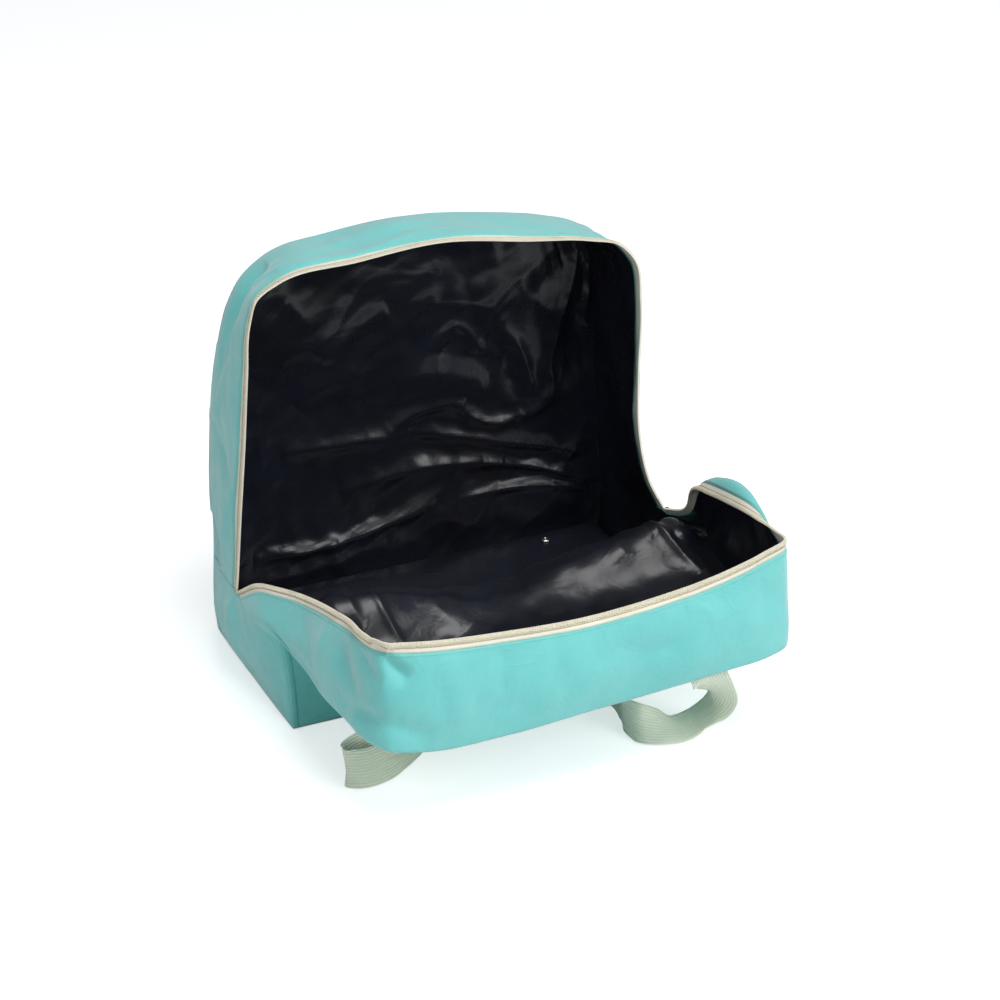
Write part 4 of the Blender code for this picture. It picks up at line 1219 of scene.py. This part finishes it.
def webbing(name, left_leg, bends, right_leg, ways, node):
    """The strap: a smooth path through both legs and the bends, with the ribbed profile across it."""
    control = np.vstack([left_leg, bends, right_leg[::-1]])
    steps = [3] * (len(left_leg) - 1) + [10] * (len(bends) + 1) + [3] * (len(right_leg) - 1)
    centre = smooth_path(control, steps)
    shares = np.concatenate([[0], np.cumsum(steps)])
    stations = np.arange(shares[-1] + 1)
    way = np.stack([np.interp(stations, shares, ways[:, k]) for k in range(3)], 1)
    along = unit(np.gradient(centre, axis=0))
    across = unit(way - along * (way * along).sum(1)[:, None])
    face = unit(np.cross(along, across))
    ring = webbing_ring()
    spots = centre[:, None] + across[:, None] * ring[None, :, :1] + face[:, None] * ring[None, :, 1:]
    centre[:, 2] += np.maximum(0, 0.0003 - spots[..., 2].min(1))
    run = path_lengths(centre)
    uv = np.stack(np.broadcast_arrays(run[:, None], ring[None, :, 0]), -1).reshape(-1, 2)
    made = tube(name, centre, across, face, ring[None], WEBBING, uv)
    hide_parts(node)
    return made


def front_handle(shell):
    panel, fineness = shell.points["front_panel"], shell.fineness
    rows = range(FRONT_LEG_ROWS[0] * fineness, FRONT_LEG_ROWS[1] * fineness + 1, fineness)
    left, left_ways = leg_on_panel(panel, -HANDLE_SPREAD / 2, rows, 1)
    right, right_ways = leg_on_panel(panel, HANDLE_SPREAD / 2, rows, 1)
    side, forward, rise, lean, heading = np.array(FRONT_HANDLE_BENDS).T
    ways = width_ways(lean, heading)
    thin = np.sqrt(1 - ways[:, 2] ** 2)
    resting = STRAP_WIDTH / 2 * ways[:, 2] + STRAP_THICKNESS / 2 * thin + 0.0006
    up = np.maximum(resting, rise * FOLD_HEIGHT)
    bends = np.stack([side * WIDTH / 2, -DEPTH / 2 - forward * TRAY_LENGTH, up], 1)
    ways = np.vstack([left_ways, ways, right_ways[::-1]])
    return webbing("front_handle_webbing", left, bends, right, ways, "front_handle")


def back_handle(shell):
    panel, fineness = shell.points["back_panel"], shell.fineness
    rows = range(BACK_LEG_ROWS[0] * fineness, BACK_LEG_ROWS[1] * fineness + 1, fineness)
    left, left_ways = leg_on_panel(panel, -HANDLE_SPREAD / 2, rows, -1)
    right, right_ways = leg_on_panel(panel, HANDLE_SPREAD / 2, rows, -1)
    side, out, drop, lean = np.array(BACK_HANDLE_BENDS).T
    behind = left[-1, 1] + out * STRAP_WIDTH
    half = np.stack([side * HANDLE_SPREAD / 2, behind, left[-1, 2] - drop * BACK_LOOP_SLACK], 1)
    ways = width_ways(lean, np.full(len(lean), 0.5))
    mirror = np.array([-1.0, 1, 1])
    bends = np.vstack([half, half[-2::-1] * mirror])
    ways = np.vstack([left_ways, ways, ways[-2::-1] * mirror, -right_ways[::-1]])
    return webbing("back_handle_webbing", left, bends, right, ways, "back_handle")


# Small pieces.


def corner_bindings(shell):
    """The bound seams at the lower front corners: a rounded profile carried up the seam."""
    seams = {"left": shell.points["front_gusset"][: shell.fold + 1, -1]}
    seams["right"] = shell.points["front_gusset"][: -shell.fold - 2 : -1, -1]
    for side, seam in seams.items():
        sign = -1 if side == "left" else 1
        path = seam[: int(len(seam) * 0.9)] - np.array([sign * 0.002, 0.0012, 0])
        path[:, 2] += BINDING_THICKNESS / 2 * (1 - np.linspace(0, 1, len(path)))
        along = unit(np.gradient(path, axis=0))
        across = np.tile([1.0, 0, 0], (len(path), 1))
        outwards = unit(np.cross(across, along))
        ring = round_ring(BINDING_WIDTH / 2, BINDING_THICKNESS / 2, 12)
        ring = np.sign(ring) * np.abs(ring / ring.max(0)) ** 0.7 * ring.max(0)
        uv = np.stack(np.broadcast_arrays(path_lengths(path)[:, None], ring[None, :, 0]), -1).reshape(-1, 2)
        made = tube(f"corner_binding_{side}_cord", path, across, outwards, ring[None], CLOTH, uv)
        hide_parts(f"corner_binding_{side}")


def turned(name, centre, profile, finish):
    """A profile of (radius, height) points turned about an upright axis through the centre."""
    angle = np.linspace(0, 2 * np.pi, 32, endpoint=False)
    circle = np.stack([np.cos(angle), np.sin(angle), np.zeros_like(angle)], 1)
    radius, height = np.array(profile).T
    points = circle[None] * radius[:, None, None] + height[:, None, None] * np.array([0, 0, 1.0])
    points = points + np.array(centre)
    number = np.arange(points.shape[0] * points.shape[1]).reshape(points.shape[:2])
    number = np.concatenate([number, number[:, :1]], 1)
    faces = quads_of(number, True).tolist()
    faces.append(number[0, -2::-1].tolist())
    faces.append(number[-1, :-1].tolist())
    return mesh_object(name, points.reshape(-1, 3), faces, finish)


def stud():
    low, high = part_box("base_stud")
    centre = ((low.x + high.x) / 2, (low.y + high.y) / 2, low.z)
    radius, rise = (high.x - low.x) / 2, high.z - low.z
    profile = (
        (radius * 0.98, 0.0),
        (radius, rise * 0.20),
        (radius * 0.97, rise * 0.42),
        (radius * 0.86, rise * 0.72),
        (radius * 0.70, rise * 0.90),
        (radius * 0.50, rise * 0.99),
        (radius * 0.36, rise * 0.96),
        (radius * 0.28, rise * 0.70),
        (radius * 0.12, rise * 0.62),
    )
    made = turned("base_stud_rivet", centre, profile, BRIGHT_METAL)
    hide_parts("base_stud")


def rounded_slab(name, low, high, power, finish):
    """A box with round edges: each unit sphere coordinate to a low power, times half the box's size."""
    turn, rise = np.linspace(0, 2 * np.pi, 24, endpoint=False), np.linspace(-np.pi / 2, np.pi / 2, 15)[1:-1]
    sphere = np.stack(
        np.broadcast_arrays(
            np.cos(rise)[:, None] * np.cos(turn), np.cos(rise)[:, None] * np.sin(turn), np.sin(rise)[:, None]
        ),
        -1,
    )
    shape = np.sign(sphere) * np.abs(sphere) ** power
    centre, half = (low + high) / 2, (high - low) / 2
    points = centre + shape * half
    number = np.arange(points.shape[0] * points.shape[1]).reshape(points.shape[:2])
    number = np.concatenate([number, number[:, :1]], 1)
    faces = quads_of(number, True).tolist()
    faces.append(number[0, -2::-1].tolist())
    faces.append(number[-1, :-1].tolist())
    return mesh_object(name, points.reshape(-1, 3), faces, finish)


def slider():
    low, high = (np.array(corner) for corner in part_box("zip_slider"))
    split = low[2] + (high[2] - low[2]) * 0.45
    body = rounded_slab("zip_slider_body", np.array([low[0], low[1], split]), high, 0.45, BRIGHT_METAL)
    pull_low, pull_high = low + (0.0012, 0.002, 0), np.array([high[0] - 0.0012, high[1] - 0.002, split + 0.003])
    pull = rounded_slab("zip_slider_pull", pull_low, pull_high, 0.35, BRIGHT_METAL)
    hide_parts("zip_slider")


# Studio.

AIM = Vector((0.016, -0.08, 0.192))
AZIMUTH = np.radians(-24.5)
ELEVATION = np.radians(28)
DISTANCE = 3.2
LENS = 114.84
SENSOR = 36.0


def camera():
    ahead = Vector((np.sin(AZIMUTH) * np.cos(ELEVATION), -np.cos(AZIMUTH) * np.cos(ELEVATION), np.sin(ELEVATION)))
    right = Vector((np.cos(AZIMUTH), np.sin(AZIMUTH), 0))
    data = bpy.data.cameras.new("camera")
    data.lens = LENS
    data.sensor_width = SENSOR
    made = bpy.data.objects.new("camera", data)
    turn = Matrix((right, ahead.cross(right), ahead)).transposed().to_4x4()
    turn.translation = AIM + ahead * DISTANCE
    made.matrix_world = turn
    bpy.context.scene.collection.objects.link(made)
    bpy.context.scene.camera = made


def softbox(name, place, power, size):
    data = bpy.data.lights.new(name, "AREA")
    data.shape = "RECTANGLE"
    data.size, data.size_y = size
    data.energy = power
    made = bpy.data.objects.new(name, data)
    made.location = place
    made.rotation_euler = (AIM - Vector(place)).to_track_quat("-Z", "Y").to_euler()
    bpy.context.scene.collection.objects.link(made)


def studio():
    camera()
    floor_finish, tree, shader = new_material("pale floor", Roughness=0.7)
    shader.inputs["Base Color"].default_value = (0.90, 0.90, 0.90, 1)
    shader.inputs["Emission Color"].default_value = (1, 1, 1, 1)
    path, glow = tree.nodes.new("ShaderNodeLightPath"), tree.nodes.new("ShaderNodeMath")
    glow.operation = "MULTIPLY"
    glow.inputs[1].default_value = 0.55
    tree.links.new(path.outputs["Is Camera Ray"], glow.inputs[0])
    tree.links.new(glow.outputs[0], shader.inputs["Emission Strength"])
    corners = np.array([[-4, -4, -0.0005], [4, -4, -0.0005], [4, 4, -0.0005], [-4, 4, -0.0005]], float)
    floor = mesh_object("floor", corners, np.array([[0, 1, 2, 3]]), floor_finish)
    floor.parent = None
    softbox("overhead", (0.2, -0.9, 2.4), 37, (1.6, 1.2))
    softbox("front_right", (1.6, -2.2, 1.5), 27, (1.2, 1.2))
    softbox("front_left", (-2.2, -1.6, 1.6), 8, (1.2, 1.2))
    world = bpy.data.worlds.new("studio")
    world.use_nodes = True
    nodes, links = world.node_tree.nodes, world.node_tree.links
    seen = nodes["Background"]
    seen.inputs["Color"].default_value = (1, 1, 1, 1)
    seen.inputs["Strength"].default_value = 1.0
    fill = nodes.new("ShaderNodeBackground")
    fill.inputs["Color"].default_value = (0.93, 0.97, 1.0, 1)
    fill.inputs["Strength"].default_value = 0.32
    dim = nodes.new("ShaderNodeMath")
    dim.operation = "MULTIPLY_ADD"
    dim.inputs[1].default_value = -0.14
    dim.inputs[2].default_value = 0.32
    path, mix = nodes.new("ShaderNodeLightPath"), nodes.new("ShaderNodeMixShader")
    links.new(path.outputs["Is Glossy Ray"], dim.inputs[0])
    links.new(dim.outputs[0], fill.inputs["Strength"])
    links.new(path.outputs["Is Camera Ray"], mix.inputs["Fac"])
    links.new(fill.outputs["Background"], mix.inputs[1])
    links.new(seen.outputs["Background"], mix.inputs[2])
    links.new(mix.outputs["Shader"], nodes["World Output"].inputs["Surface"])
    bpy.context.scene.world = world
    bpy.context.scene.view_settings.view_transform = "Standard"


def main():
    studio()
    cloth_shell = Shell(CLOTH_FINENESS)
    padded_base()
    outer_cloth(cloth_shell)
    lining_cloth(Shell(LINING_FINENESS))
    zips(cloth_shell)
    corner_bindings(cloth_shell)
    front_handle(cloth_shell)
    back_handle(cloth_shell)
    stud()
    slider()


main()
